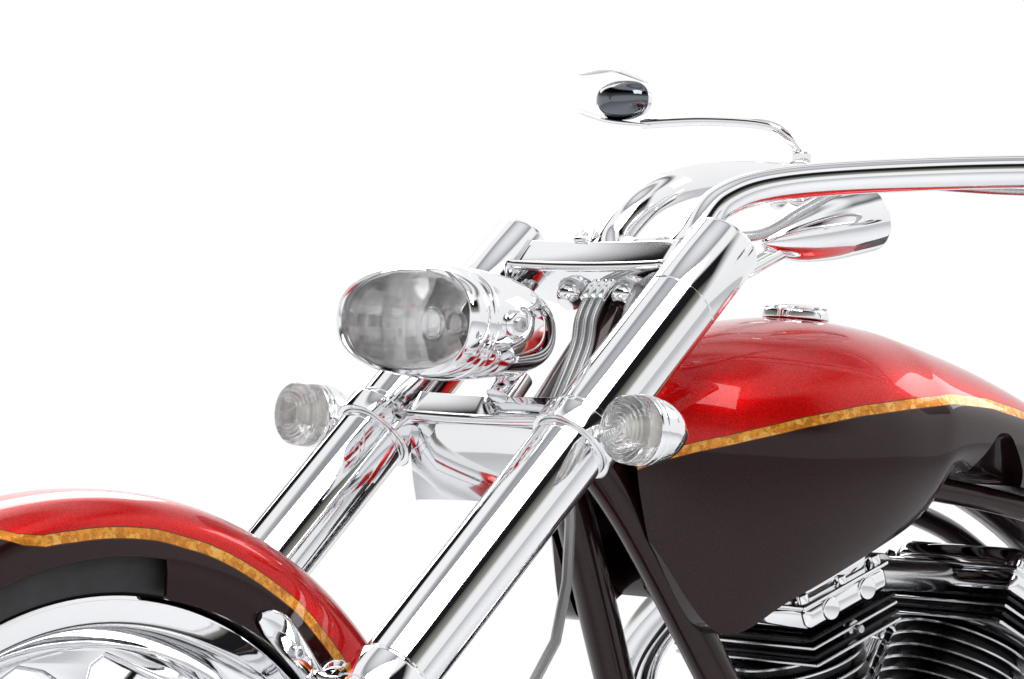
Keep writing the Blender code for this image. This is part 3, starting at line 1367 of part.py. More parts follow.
def make_air_cleaner():
    centre = Vector((AIR_CLEANER_SIDE, CRANK.y, INTAKE_HEIGHT))
    out = -ACROSS
    profile = [(0, AIR_CLEANER_DEPTH), (AIR_CLEANER_RADIUS * 0.85, AIR_CLEANER_DEPTH * 0.92),
               (AIR_CLEANER_RADIUS, AIR_CLEANER_DEPTH * 0.6), (AIR_CLEANER_RADIUS, 0), (0, 0)]
    cover = turned(profile, centre, out, 20)
    throat = rod(centre + out * AIR_CLEANER_DEPTH / 2, Vector((0, CRANK.y, INTAKE_HEIGHT)),
                 INTAKE_RADIUS * 1.4)
    spread = Vector((0, (INTAKE_HEIGHT - CRANK.z) * tan(CYLINDER_LEAN), 0))
    middle = Vector((0, CRANK.y, INTAKE_HEIGHT))
    manifold = rod(middle - spread, middle + spread, INTAKE_RADIUS)
    piece = cut(joined(cover, throat, manifold), head_block(-1, TOUCH), head_block(1, TOUCH))
    finish(piece, "air_cleaner", CHROME, chassis)


PIPE_RADIUS = 0.022
PIPE_SIDE = -0.208
FRONT_PIPE = (
    # side, back, up
    (-0.0863, 0.748, 0.612), (-0.120, 0.748, 0.612), (-0.178, 0.750, 0.540),
    (PIPE_SIDE, 0.790, 0.390), (PIPE_SIDE, 0.900, 0.255), (PIPE_SIDE, 1.080, 0.200),
    (PIPE_SIDE, 1.500, 0.195), (PIPE_SIDE, 1.760, 0.195))
REAR_PIPE = (
    (-0.0863, 1.012, 0.612), (-0.120, 1.012, 0.612), (-0.180, 1.025, 0.530),
    (PIPE_SIDE, 1.080, 0.380), (PIPE_SIDE, 1.220, 0.275), (PIPE_SIDE, 1.500, 0.260),
    (PIPE_SIDE, 1.780, 0.260))


def make_exhaust():
    pipes = []
    for route in (FRONT_PIPE, REAR_PIPE):
        points = [Vector(point) for point in route]
        pipes.append(tube(points[:1] + smooth_route(points[1:], 2), PIPE_RADIUS))
    middle = (FRONT_PIPE[-2][2] + REAR_PIPE[-2][2]) / 2
    strap = block(Vector((PIPE_SIDE, FRONT_PIPE[-2][1], middle)),
                  Vector((PIPE_RADIUS, PIPE_RADIUS, PIPE_RADIUS * 2)))
    finish(joined(pipes[0], pipes[1], strap), "exhaust_pipes", CHROME, chassis)


OIL_TANK_CENTRE = (0, 1.405, 0.5214)
OIL_TANK_SIZE = (0.180, 0.105, 0.130)


def make_engine():
    make_crankcase()
    for name, hand in (("front", -1), ("rear", 1)):
        make_cylinder(f"{name}_cylinder", hand)
        make_rocker_box(f"{name}_rocker_box", hand)
    make_primary()
    make_gearbox()
    make_belt()
    make_rear_pulley()
    make_cam_cover()
    make_air_cleaner()
    make_exhaust()
    oil = block(Vector(OIL_TANK_CENTRE), Vector(OIL_TANK_SIZE),
                round_edge=OIL_TANK_SIZE[1] * 0.2)
    finish(oil, "oil_tank", CHROME, chassis)


def make_body():
    make_tank()
    make_seat()
    make_rear_fender()


make_body()
make_engine()


# Swingarm, rear axle, brakes, foot controls and stand

ARM_SIDE = 0.172
ARM_RADIUS = 0.014
ARM_EYE_RADIUS = 0.028
LOWER_CROSS_Y = 1.500
UPPER_CROSS = (0.130, 1.545, 0.475)


def make_swingarm():
    pieces = []
    for hand in (1, -1):
        pivot = Vector((hand * ARM_SIDE, PIVOT_Y, PIVOT_HEIGHT))
        axle = REAR_AXLE + Vector((hand * ARM_SIDE, 0, 0))
        knee = Vector((hand * ARM_SIDE, 1.680, 0.430))
        top = Vector((hand * UPPER_CROSS[0], *UPPER_CROSS[1:]))
        pieces.append(rod(pivot, axle, ARM_RADIUS, sides=12))
        upper = smooth_route([axle, knee, top], 2)
        pieces.append(tube(upper, ARM_RADIUS * 0.9, 2))
        bite = Vector((hand * ARM_RADIUS, 0, 0))
        pieces.append(rod(axle - bite, axle + bite, ARM_EYE_RADIUS))
        boss = Vector((hand * (PIVOT_BOSS_HALF + TOUCH), PIVOT_Y, PIVOT_HEIGHT))
        pieces.append(rod(boss, pivot + bite, PIVOT_BOSS_RADIUS))
        low = Vector((hand * UPPER_CROSS[0] * 0.5, LOWER_CROSS_Y, 0.3492))
        high = Vector((low.x, UPPER_CROSS[1], UPPER_CROSS[2]))
        pieces.append(rod(low, high, ARM_RADIUS * 0.8, sides=12))
    level = along(PIVOT_HEIGHT, REAR_AXLE.z, (LOWER_CROSS_Y - PIVOT_Y) / (WHEELBASE - PIVOT_Y))
    for half, back, up in ((ARM_SIDE, LOWER_CROSS_Y, level), UPPER_CROSS):
        pieces.append(rod(Vector((-half, back, up)), Vector((half, back, up)), ARM_RADIUS * 0.85,
                          sides=12))
    boss = Vector((REAR_CALIPER_FACE + TOUCH, *CALIPER_BOSS))
    pieces.append(rod(boss, Vector((ARM_SIDE, *CALIPER_BOSS)), CALIPER_BOSS_RADIUS, sides=12))
    arms = joined(*pieces)
    hole = rod(REAR_AXLE - ACROSS * ARM_SIDE * 2, REAR_AXLE + ACROSS * ARM_SIDE * 2,
               bore(REAR_AXLE_RADIUS))
    finish(cut(arms, hole), "swingarm", MAROON, chassis)


def make_rear_axle():
    inner = ARM_SIDE - ARM_RADIUS - TOUCH
    outer = ARM_SIDE + ARM_RADIUS + TOUCH
    hub = REAR_HUB_WIDTH / 2 + TOUCH
    nut = outer + AXLE_NUT_HEIGHT
    half = [(0, nut), (AXLE_NUT_RADIUS, nut), (AXLE_NUT_RADIUS, outer),
            (REAR_AXLE_RADIUS, outer), (REAR_AXLE_RADIUS, inner), (SPACER_RADIUS, inner),
            (SPACER_RADIUS, hub), (REAR_AXLE_RADIUS, hub)]
    mirrored_half = [(radius, -offset) for radius, offset in reversed(half)]
    finish(turned(half + mirrored_half, REAR_AXLE, ACROSS), "rear_axle", STEEL, chassis)


REAR_DISC_RADIUS = 0.135
REAR_DISC_SIDE = 0.128
CALIPER_SIZE = (0.030, 0.085, 0.060)
FRONT_CALIPER_ANGLE = radians(28)
REAR_CALIPER_FACE = 0.150
CALIPER_BOSS = (1.802, 0.376)
CALIPER_BOSS_RADIUS = 0.012


def make_rear_brake():
    inner = REAR_HUB_WIDTH / 2 + TOUCH - REAR_DISC_SIDE
    half = DISC_THICK / 2
    sleeve = SPACER_RADIUS + RUNNING_GAP
    profile = [(sleeve, half), (REAR_DISC_RADIUS, half), (REAR_DISC_RADIUS, -half),
               (HUB_RADIUS, -half), (HUB_RADIUS, inner), (sleeve, inner)]
    centre = REAR_AXLE + Vector((REAR_DISC_SIDE, 0, 0))
    finish(turned(profile, centre, ACROSS, WHEEL_STEPS // 2, closed=True), "rear_disc", STEEL,
           rear_wheel)


def caliper(name, disc_centre, disc_radius, angle, reach, joint, *cutters):
    """A block over a disc's edge, slotted for it, with a foot that reaches its carrier."""
    outward = Vector((0, cos(angle), sin(angle)))
    turn = Matrix((ACROSS, outward, ACROSS.cross(outward))).transposed().to_4x4()
    centre = disc_centre + outward * (disc_radius - CALIPER_SIZE[2] * 0.12)
    left = CALIPER_SIZE[0] / 2
    body = block(centre + ACROSS * (reach - left) / 2,
                 Vector((reach + left, CALIPER_SIZE[2], CALIPER_SIZE[1])), turn,
                 round_edge=CALIPER_SIZE[0] * 0.15)
    slot = rod(disc_centre - ACROSS * (DISC_THICK / 2 + RUNNING_GAP * 0.6),
               disc_centre + ACROSS * (DISC_THICK / 2 + RUNNING_GAP * 0.6),
               disc_radius + RUNNING_GAP, sides=WHEEL_STEPS)
    finish(cut(body, slot, *cutters), name, CHROME, joint)


def make_calipers():
    disc = FRONT_AXLE + Vector((FRONT_HUB_WIDTH / 2 + DISC_OFFSET, 0, 0))
    caliper("front_caliper", disc, FRONT_DISC_RADIUS, FRONT_CALIPER_ANGLE,
            FORK_SPREAD / 2 - SLIDER_RADIUS * 0.7 - disc.x, steering,
            leg_rod(FORK_SPREAD / 2, bore(SLIDER_RADIUS), 0, FORK_LENGTH / 2))
    disc = REAR_AXLE + Vector((REAR_DISC_SIDE, 0, 0))
    caliper("rear_caliper", disc, REAR_DISC_RADIUS, radians(158),
            REAR_CALIPER_FACE - disc.x, chassis)


FOOT_ROOT_RISE = 0.013
PEG_BACK = 0.640
PEG_HEIGHT = 0.310
PEG_INNER = 0.165
PEG_OUTER = 0.290
PEG_RADIUS = 0.016


def downtube_side(height):
    """The left downtube's outer side at a height, seated clear of it."""
    route = smooth_route(downtube_route(), 2)
    for high, low in zip(route, route[1:]):
        if low.z <= height <= high.z:
            middle = along(high, low, (high.z - height) / (high.z - low.z))
            return middle + ACROSS * (TUBE_RADIUS + TOUCH * 2)


def make_foot_control(name, hand):
    root = downtube_side(PEG_HEIGHT + FOOT_ROOT_RISE)
    root.x *= hand
    arm_end = Vector((hand * PEG_INNER, PEG_BACK, PEG_HEIGHT))
    elbow = root + ACROSS * hand * PEG_RADIUS
    arm = tube([root, elbow, along(elbow, arm_end, 0.5), arm_end], PEG_RADIUS * 0.7, 2)
    peg = rod(arm_end - ACROSS * hand * PEG_RADIUS, Vector((hand * PEG_OUTER, PEG_BACK, PEG_HEIGHT)),
              PEG_RADIUS)
    toe = [arm_end, arm_end + Vector((0, -0.05, 0.06)), arm_end + Vector((0, -0.08, 0.10))]
    lever = tube(toe, PEG_RADIUS * 0.45, 2)
    pad = rod(toe[-1] - ACROSS * hand * PEG_RADIUS * 0.4, toe[-1] + ACROSS * hand * 0.05,
              PEG_RADIUS * 0.7, sides=12)
    finish(joined(arm, peg, lever, pad), name, CHROME, chassis)


def make_rear():
    make_swingarm()
    make_rear_axle()
    make_front_brake()
    make_rear_brake()
    make_calipers()
    make_foot_control("left_foot_control", 1)
    make_foot_control("right_foot_control", -1)


make_rear()


# Side stand, hoses and the final stance

def make_side_stand():
    """The leg from its pin to the round pad flat on the ground."""
    fall = -(STANCE.to_3x3() @ STAND_DOWN).z
    length = ((STANCE @ STAND_PIVOT).z - STAND_PAD_THICK) / fall
    foot = STAND_PIVOT + STAND_DOWN * length
    half = STAND_EYE_HALF
    leg = rod(STAND_PIVOT + STAND_DOWN * STAND_PIN_RADIUS, foot, STAND_LEG_RADIUS,
              end_radius=STAND_LEG_RADIUS * 0.9)
    pad = rod(foot - WORLD_UP * STAND_PAD_THICK, foot + WORLD_UP * STAND_PAD_THICK / 4,
              STAND_PAD_RADIUS, end_radius=STAND_PAD_RADIUS * 0.8)
    eye = rod(STAND_PIVOT - STAND_AXIS * half, STAND_PIVOT + STAND_AXIS * half,
              STAND_EYE_RADIUS)
    hole = rod(STAND_PIVOT - STAND_AXIS * half * 2, STAND_PIVOT + STAND_AXIS * half * 2,
               bore(STAND_PIN_RADIUS))
    finish(cut(joined(eye, leg, pad), hole), "side_stand", CHROME, stand)


HOSE_RADIUS = 0.0045
FITTING_RADIUS = 0.007
FITTING_LENGTH = 0.012
BRAKE_HOSE = (
    # side, forward and up from the neck
    (0.050, 0.040, 0.085), (0.057, 0.024, 0.030), (0.060, 0.018, -0.050),
    (0.070, -0.016, -0.104))
BRAKE_HOSE_LOWER = (
    # side, back, up
    (0.088, 0.400, 0.580), (0.090, 0.330, 0.495), (0.084, 0.250, 0.450))


def make_brake_hose():
    """From under the upper clamp, down between the fork legs to the front caliper."""
    under = UPPER_CLAMP_LEVEL - CLAMP_THICK / 2 - TOUCH
    side, ahead, _ = BRAKE_HOSE[0]
    top = at_neck(side, ahead, under)
    fitting = rod(top, top - STEM_UP * FITTING_LENGTH, FITTING_RADIUS, sides=12)
    route = [top - STEM_UP * FITTING_LENGTH / 2]
    route += [at_neck(*point) for point in BRAKE_HOSE]
    route += [Vector(point) for point in BRAKE_HOSE_LOWER]
    port, outward = caliper_port()
    route = smooth_route(route + [port + outward * FITTING_LENGTH * 2], 2)
    hose = tube(route + [port], HOSE_RADIUS, 2)
    finish(joined(fitting, hose), "front_brake_hose", BRAID, steering)


def caliper_port():
    """A point on the front caliper's outer face, and the way out of it."""
    outward = Vector((0, cos(FRONT_CALIPER_ANGLE), sin(FRONT_CALIPER_ANGLE)))
    reach = FRONT_DISC_RADIUS + CALIPER_SIZE[2] * 0.38 + TOUCH
    side = ACROSS * (FRONT_HUB_WIDTH / 2 + CALIPER_SIZE[0] * 0.6)
    return FRONT_AXLE + outward * reach + side, outward


def take_stance():
    """Lean the bike on its stand with the middle of its footprint at the origin."""
    stance.matrix_world = STANCE
    bpy.context.view_layer.update()
    corners = [item.matrix_world @ vert.co for item in PARTS.objects
               if item.type == "MESH" for vert in item.data.vertices]
    middle = [(min(point[i] for point in corners) + max(point[i] for point in corners)) / 2
              for i in (0, 1)]
    stance.matrix_world = Matrix.Translation((-middle[0], -middle[1], 0)) @ STANCE
    bpy.context.view_layer.update()


make_side_stand()
make_brake_hose()
take_stance()
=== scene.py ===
"""Looks for the chopper motorcycle: finer shapes, paint, chrome, glass, leather, camera and light.

Shapes are made on the upright bike, whose front axle is over y = 0 and which points along -Y, and
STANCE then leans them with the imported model.
"""

import json
from math import asin, atan2, cos, degrees, hypot, pi, radians, sin, tan

import bmesh
import bpy
from mathutils import Matrix, Vector


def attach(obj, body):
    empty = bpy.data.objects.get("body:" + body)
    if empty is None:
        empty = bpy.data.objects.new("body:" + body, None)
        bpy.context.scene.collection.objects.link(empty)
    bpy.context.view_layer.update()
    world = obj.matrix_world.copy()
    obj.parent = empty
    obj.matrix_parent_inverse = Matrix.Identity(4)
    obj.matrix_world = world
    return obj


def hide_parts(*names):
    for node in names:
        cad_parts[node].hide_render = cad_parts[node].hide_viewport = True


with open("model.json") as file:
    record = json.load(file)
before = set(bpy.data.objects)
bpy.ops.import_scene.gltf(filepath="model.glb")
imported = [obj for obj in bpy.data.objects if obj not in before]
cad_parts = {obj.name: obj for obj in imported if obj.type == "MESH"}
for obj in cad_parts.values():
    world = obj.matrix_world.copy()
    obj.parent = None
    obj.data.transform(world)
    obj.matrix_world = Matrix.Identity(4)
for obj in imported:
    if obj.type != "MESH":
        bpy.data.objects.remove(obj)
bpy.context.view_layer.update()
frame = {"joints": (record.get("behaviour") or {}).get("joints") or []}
JOINTS = {joint["name"]: joint for joint in frame["joints"]}

# The bike's own sizes, as in the solids
NECK_RAKE = radians(38)
FORK_ANGLE = radians(43)
WHEELBASE = 1.92
FORK_LENGTH = 0.763
FORK_SPREAD = 0.241
FRONT_RADIUS = 0.336
REAR_RADIUS = 0.325
FRONT_FLANGE = 0.269
REAR_FLANGE = 0.240
SLEEVE = 0.031
SLIDER = 0.034
BAR_RADIUS = 0.0145
SEAM_AHEAD, SEAM_LEVEL = 0.0457, 0.1288
UPPER_CLAMP, LOWER_CLAMP, CLAMP_THICK = 0.127, -0.050, 0.0225
SIGNAL_HEIGHT = FORK_LENGTH - 0.206

ACROSS, UP = Vector((1, 0, 0)), Vector((0, 0, 1))
BACK, AHEAD = Vector((0, 1, 0)), Vector((0, -1, 0))
STEM_UP = Vector((0, sin(NECK_RAKE), cos(NECK_RAKE)))
STEM_FORWARD = Vector((0, -cos(NECK_RAKE), sin(NECK_RAKE)))
FORK_UP = Vector((0, sin(FORK_ANGLE), cos(FORK_ANGLE)))
FORK_FORWARD = Vector((0, -cos(FORK_ANGLE), sin(FORK_ANGLE)))
FRONT_AXLE = Vector((0, 0, FRONT_RADIUS))
REAR_AXLE = Vector((0, WHEELBASE, REAR_RADIUS))
FORK_SEAM = FRONT_AXLE + FORK_UP * FORK_LENGTH
NECK = FORK_SEAM - STEM_FORWARD * SEAM_AHEAD - STEM_UP * SEAM_LEVEL
CRANK = Vector((0, 0.880, 0.300))
TANK_NOSE = NECK.y + 0.020


def basis(first, second):
    """Unit axes as columns: the first, the second squared up to it, and their cross."""
    first = first.normalized()
    second = (second - first * second.dot(first)).normalized()
    return Matrix((first, second, first.cross(second))).transposed()


def stance_matrix():
    """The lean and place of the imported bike, read from its two wheels."""
    front = Vector(JOINTS["front_wheel_spin"]["pos_m"])
    rear = Vector(JOINTS["rear_wheel_spin"]["pos_m"])
    axis = Vector(JOINTS["front_wheel_spin"]["axis"])
    turn = basis(axis, rear - front) @ basis(ACROSS, REAR_AXLE - FRONT_AXLE).transposed()
    return Matrix.Translation(front - turn @ FRONT_AXLE) @ turn.to_4x4()


STANCE = stance_matrix()


def put(name, data):
    """A new object in the scene."""
    item = bpy.data.objects.new(name, data)
    bpy.context.scene.collection.objects.link(item)
    return item


def meshed(work, name="draft"):
    """The shape as a mesh. The working copy goes."""
    mesh = bpy.data.meshes.new(name)
    work.to_mesh(mesh)
    work.free()
    return mesh


# Camera, floor, backdrop and light

IMAGE_WIDTH = 1024
SENSOR_WIDTH = 36
FOCAL_PIXELS = 4018.94
VIEW_AZIMUTH = radians(47.3476)
VIEW_ELEVATION = radians(-5.4627)
CAMERA_FROM_SEAM = Vector((2.41246502, -2.33466582, -0.38645366))


def make_camera():
    data = bpy.data.cameras.new("photo_camera")
    camera = put("photo_camera", data)
    look = Vector((-sin(VIEW_AZIMUTH) * cos(VIEW_ELEVATION),
                   cos(VIEW_AZIMUTH) * cos(VIEW_ELEVATION), -sin(VIEW_ELEVATION)))
    right = Vector((cos(VIEW_AZIMUTH), sin(VIEW_AZIMUTH), 0))
    turn = Matrix((right, right.cross(look), -look)).transposed()
    camera.matrix_world = Matrix.Translation(STANCE @ FORK_SEAM + CAMERA_FROM_SEAM) @ turn.to_4x4()
    data.sensor_fit = "HORIZONTAL"
    data.sensor_width = SENSOR_WIDTH
    data.lens = FOCAL_PIXELS * SENSOR_WIDTH / IMAGE_WIDTH
    data.clip_end = 100
    bpy.context.scene.camera = camera


class Nodes:
    """Short calls for building one material or world."""

    def __init__(self, tree):
        self.tree = tree

    def feed(self, socket, value):
        """A link goes into the socket, or else a number or a colour."""
        if isinstance(value, bpy.types.NodeSocket):
            self.tree.links.new(value, socket)
        else:
            socket.default_value = (*value, 1) if isinstance(value, tuple) else value

    def set(self, node, **sockets):
        for name, value in sockets.items():
            self.feed(node.inputs[name.replace("_", " ")], value)
        return node

    def new(self, kind, **sockets):
        return self.set(self.tree.nodes.new("ShaderNode" + kind), **sockets)

    def ramp(self, factor, *stops):
        """Greys or colours at places along a factor."""
        node = self.new("ValToRGB", Fac=factor)
        elements = node.color_ramp.elements
        while len(elements) < len(stops):
            elements.new(0.5)
        for element, (place, colour) in zip(elements, stops):
            element.position = place
            element.color = (*colour, 1) if isinstance(colour, tuple) else (colour,) * 3 + (1,)
        return node.outputs["Color"]

    def math(self, operation, *values):
        node = self.new("Math")
        node.operation = operation
        for socket, value in zip(node.inputs, values):
            self.feed(socket, value)
        return node.outputs[0]

    def mix(self, factor, first, second):
        node = self.new("Mix")
        node.data_type = "RGBA"
        for index, value in ((0, factor), (6, first), (7, second)):
            self.feed(node.inputs[index], value)
        return node.outputs[2]

    def noise(self, where, scale, detail=3.0, rough=0.5, distortion=0.0):
        return self.new("TexNoise", Vector=where, Scale=scale, Detail=detail, Roughness=rough,
                        Distortion=distortion).outputs[0]

    def cells(self, where, scale, feature="F1"):
        node = self.new("TexVoronoi", Vector=where, Scale=scale)
        node.feature = feature
        return node.outputs["Color" if feature == "F1" else "Distance"]

    def place(self, scale=(1, 1, 1), kind="Object"):
        node = self.new("Mapping", Vector=self.new("TexCoord").outputs[kind])
        node.inputs["Scale"].default_value = scale
        return node.outputs[0]

    def bump(self, height, strength, distance, **under):
        return self.new("Bump", Height=height, Strength=strength, Distance=distance,
                        **under).outputs[0]


def make_world():
    """A white backdrop round the horizon, a dark ceiling band and a soft light overhead."""
    world = bpy.data.worlds.new("studio")
    world.use_nodes = True
    bpy.context.scene.world = world
    world.node_tree.nodes.clear()
    n = Nodes(world.node_tree)
    toward = n.new("SeparateXYZ", Vector=n.new("TexCoord").outputs["Generated"]).outputs
    height = n.math("MULTIPLY_ADD", toward["Z"], 0.5, 0.5)
    mirror = n.ramp(height, (0.0, 0.90), (0.58, (0.96, 0.96, 0.97)), (0.615, (0.80, 0.80, 0.79)),
                    (0.650, (0.30, 0.30, 0.27)), (0.735, (0.10, 0.10, 0.085)),
                    (0.755, (0.012, 0.012, 0.014)), (0.855, (0.010, 0.010, 0.012)), (0.880, 0.98),
                    (0.950, 1.0), (0.965, (0.30, 0.31, 0.33)), (1.0, (0.85, 0.86, 0.88)))
    side = n.ramp(height, (0.0, (0.60, 0.60, 0.62)), (0.30, (0.07, 0.07, 0.08)),
                  (0.41, (0.05, 0.05, 0.06)), (0.46, (0.92, 0.92, 0.93)), (0.86, 1.0),
                  (0.90, (0.10, 0.10, 0.11)), (0.94, (0.95, 0.95, 0.96)))
    behind = n.ramp(n.math("MULTIPLY_ADD", toward["Y"], 0.5, 0.5), (0.66, 0.0), (0.76, 1.0))
    rays = n.new("LightPath").outputs
    seen = n.math("MAXIMUM", rays["Is Camera Ray"], rays["Is Transmission Ray"])
    soft = n.mix(rays["Is Glossy Ray"], (0.62, 0.63, 0.65), n.mix(behind, mirror, side))
    backdrop = n.new("Background", Color=n.mix(seen, soft, (1.0, 1.0, 1.0)), Strength=1.0)
    n.new("OutputWorld", Surface=backdrop.outputs[0])


def soft_lamp(name, place, aim, size, power):
    data = bpy.data.lights.new(name, "AREA")
    data.shape = "RECTANGLE"
    data.size, data.size_y = size
    data.energy = power
    direction = Vector(aim) - Vector(place)
    put(name, data).matrix_world = (Matrix.Translation(place)
                                    @ direction.to_track_quat("-Z", "Y").to_matrix().to_4x4())


def make_studio():
    work = bmesh.new()
    bmesh.ops.create_grid(work, x_segments=1, y_segments=1, size=14)
    floor = put("floor", meshed(work, "floor"))
    material, n, shader = surface("pale_floor", (0.8, 0.8, 0.8), 0.0, 0.7)
    n.set(shader, Base_Color=n.ramp(n.noise(n.place(), 0.7, 2.0), (0.3, 0.86), (0.7, 0.90)))
    floor.data.materials.append(material)
    make_world()
    soft_lamp("overhead", (1.4, -1.6, 3.2), (0, -0.2, 0.6), (2.4, 1.6), 62)
    soft_lamp("far_side", (-2.6, 0.8, 2.8), (0, 0.2, 0.5), (2.0, 1.4), 34)
    soft_lamp("rear_top", (0.8, 3.0, 2.9), (0, 0.8, 0.5), (1.6, 1.2), 26)


# Materials

def surface(name, colour, metallic=0.0, roughness=0.5, **sockets):
    """A material, its nodes and its shader."""
    made = bpy.data.materials.new(name)
    made.use_nodes = True
    n = Nodes(made.node_tree)
    shader = made.node_tree.nodes["Principled BSDF"]
    n.set(shader, Base_Color=colour, Metallic=metallic, Roughness=roughness, **sockets)
    return made, n, shader


def metal(name, colour, low, high, wear=0.02, grain=1.0):
    """A metal with faint smears in its gloss and a slight unevenness."""
    made, n, shader = surface(name, colour, 1.0, low)
    where = n.place()
    dark = tuple(value * 0.93 for value in colour)
    smear = n.noise(where, 9 * grain, 5.0, 0.6, 0.6)
    n.set(shader, Roughness=n.ramp(smear, (0.35, low), (0.75, high)),
          Base_Color=n.ramp(n.noise(where, 3.5), (0.3, dark), (0.7, colour)),
          Normal=n.bump(n.noise(where, 320 * grain, 2.0), wear, 0.0004))
    return made


def brushed(name, colour, low, high):
    """Metal with fine turned or ground lines."""
    made, n, shader = surface(name, colour, 1.0, low)
    lines = n.noise(n.place((1, 14, 14)), 60, 3.0, 0.6)
    n.set(shader, Roughness=n.ramp(lines, (0.3, low), (0.7, high)),
          Normal=n.bump(lines, 0.15, 0.0004))
    return made


def lacquer(name, colour, metallic, roughness, specular):
    return surface(name, colour, metallic, roughness, Coat_Weight=1.0, Coat_Roughness=0.02,
                   Coat_IOR=1.36, Specular_IOR_Level=specular)


def flakes(n, where, deep, bright):
    """The colour of fine metal flake under lacquer, and the flakes themselves."""
    speck = n.cells(where, 1400)
    cloud = n.ramp(n.noise(where, 2.2, 2.0), (0.3, 0.0), (0.8, 0.35))
    return n.mix(cloud, n.ramp(speck, (0.2, deep), (0.9, bright)), bright), speck


def clear_coat(n, shader, where, colour, speck):
    """The glitter of the flakes under a clear coat with a light ripple."""
    n.set(shader, Base_Color=colour, Normal=n.bump(speck, 0.10, 0.0003),
          Coat_Normal=n.bump(n.noise(where, 26, 2.0), 0.02, 0.0006))


RED_DEEP, RED_BRIGHT = (0.34, 0.0008, 0.0012), (0.78, 0.004, 0.003)
MAROON_DEEP, MAROON_BRIGHT = (0.0085, 0.0016, 0.0018), (0.024, 0.0048, 0.0052)
STRIPE_HALF, STRIPE_PIN = 0.0048, 0.0040


def maroon_paint(name):
    made, n, shader = lacquer(name, MAROON_BRIGHT, 0.40, 0.36, 0.12)
    where = n.place()
    clear_coat(n, shader, where, *flakes(n, where, MAROON_DEEP, MAROON_BRIGHT))
    return made


def banded_paint(name):
    """Red above the stripe, gold leaf on it and maroon below, by the piece's band value."""
    made, n, shader = lacquer(name, RED_BRIGHT, 0.70, 0.38, 0.10)
    where = n.place()
    red, speck = flakes(n, where, RED_DEEP, RED_BRIGHT)
    maroon, _ = flakes(n, where, MAROON_DEEP, MAROON_BRIGHT)
    patch = n.ramp(n.cells(where, 160), (0.1, (0.42, 0.14, 0.010)), (0.4, (0.78, 0.30, 0.025)),
                   (0.7, (0.92, 0.46, 0.07)), (0.95, (0.96, 0.60, 0.16)))
    fleck = n.ramp(n.noise(where, 220, 4.0, 0.7), (0.38, 0.0), (0.52, 0.75))
    gold = n.mix(fleck, (0.45, 0.15, 0.012), patch)
    band = n.new("Attribute")
    band.attribute_name = "band"
    value = band.outputs["Fac"]
    pin = n.math("MULTIPLY", n.math("GREATER_THAN", n.math("ABSOLUTE", value), STRIPE_PIN),
                 n.math("LESS_THAN", n.math("ABSOLUTE", value), STRIPE_HALF))
    colour = n.mix(n.math("GREATER_THAN", value, STRIPE_HALF), gold, red)
    colour = n.mix(n.math("LESS_THAN", value, -STRIPE_HALF), colour, maroon)
    clear_coat(n, shader, where, n.mix(pin, colour, (0.10, 0.03, 0.006)), speck)
    return made


def rubber(name, colour, rough, grain):
    made, n, shader = surface(name, colour, 0.0, rough)
    where = n.place()
    pale = tuple(2.2 * value for value in colour)
    n.set(shader, Base_Color=n.ramp(n.noise(where, 14, 4.0, 0.6), (0.3, colour), (0.8, pale)),
          Roughness=n.ramp(n.noise(where, 40, 3.0, 0.6), (0.3, rough - 0.12), (0.7, rough + 0.1)),
          Normal=n.bump(n.noise(where, grain, 3.0, 0.6), 0.25, 0.0005))
    return made


def leather(name):
    made, n, shader = surface(name, (0.022, 0.019, 0.018), 0.0, 0.42)
    where = n.place()
    creases = n.ramp(n.cells(where, 420, "DISTANCE_TO_EDGE"), (0.0, 0.0), (0.12, 1.0))
    fine = n.bump(creases, 0.35, 0.0006)
    # The colour is darker in the grain's creases: painted shade, laid over the creases' own bump.
    n.set(shader, Base_Color=n.mix(creases, (0.010, 0.009, 0.008), (0.030, 0.026, 0.024)),
          Roughness=n.ramp(n.noise(where, 18, 4.0, 0.6), (0.3, 0.36), (0.7, 0.52)),
          Normal=n.bump(n.noise(where, 30), 0.20, 0.0015, Normal=fine))
    return made


def glass(name, colour, roughness=0.0, ripple=0.0, scale=60, weight=1.0, solid=1.0):
    made, n, shader = surface(name, colour, 0.0, roughness, IOR=1.47, Alpha=solid,
                              Transmission_Weight=weight)
    where = n.place()
    haze = n.noise(where, 30, 3.0, 0.6)
    n.set(shader, Roughness=n.ramp(haze, (0.4, roughness), (0.8, roughness + 0.02)),
          Normal=n.bump(n.noise(where, scale, 1.0, 0.4), ripple, 0.001))
    return made


def braided(name):
    """A woven steel sleeve, by the hose's own round and along coordinates."""
    made, n, shader = surface(name, (0.45, 0.45, 0.46), 0.85, 0.34)
    places = n.new("SeparateXYZ", Vector=n.place(kind="UV")).outputs
    strands = []
    for hand in (1, -1):
        turn = n.math("MULTIPLY", places["X"], 10.0)
        run = n.math("MULTIPLY", places["Y"], 520.0 * hand)
        strands.append(n.math("SINE", n.math("MULTIPLY", n.math("ADD", turn, run), pi)))
    weave = n.math("MULTIPLY", n.math("ADD", n.math("MULTIPLY", *strands), 1.0), 0.5)
    # The colour is darker in the weave's hollows, where the bump sinks: painted shade.
    n.set(shader, Base_Color=n.ramp(weave, (0.2, 0.12), (0.7, (0.62, 0.62, 0.63))),
          Normal=n.bump(weave, 0.5, 0.0006))
    return made


bpy.context.scene.view_settings.view_transform = "Standard"
make_camera()
make_studio()

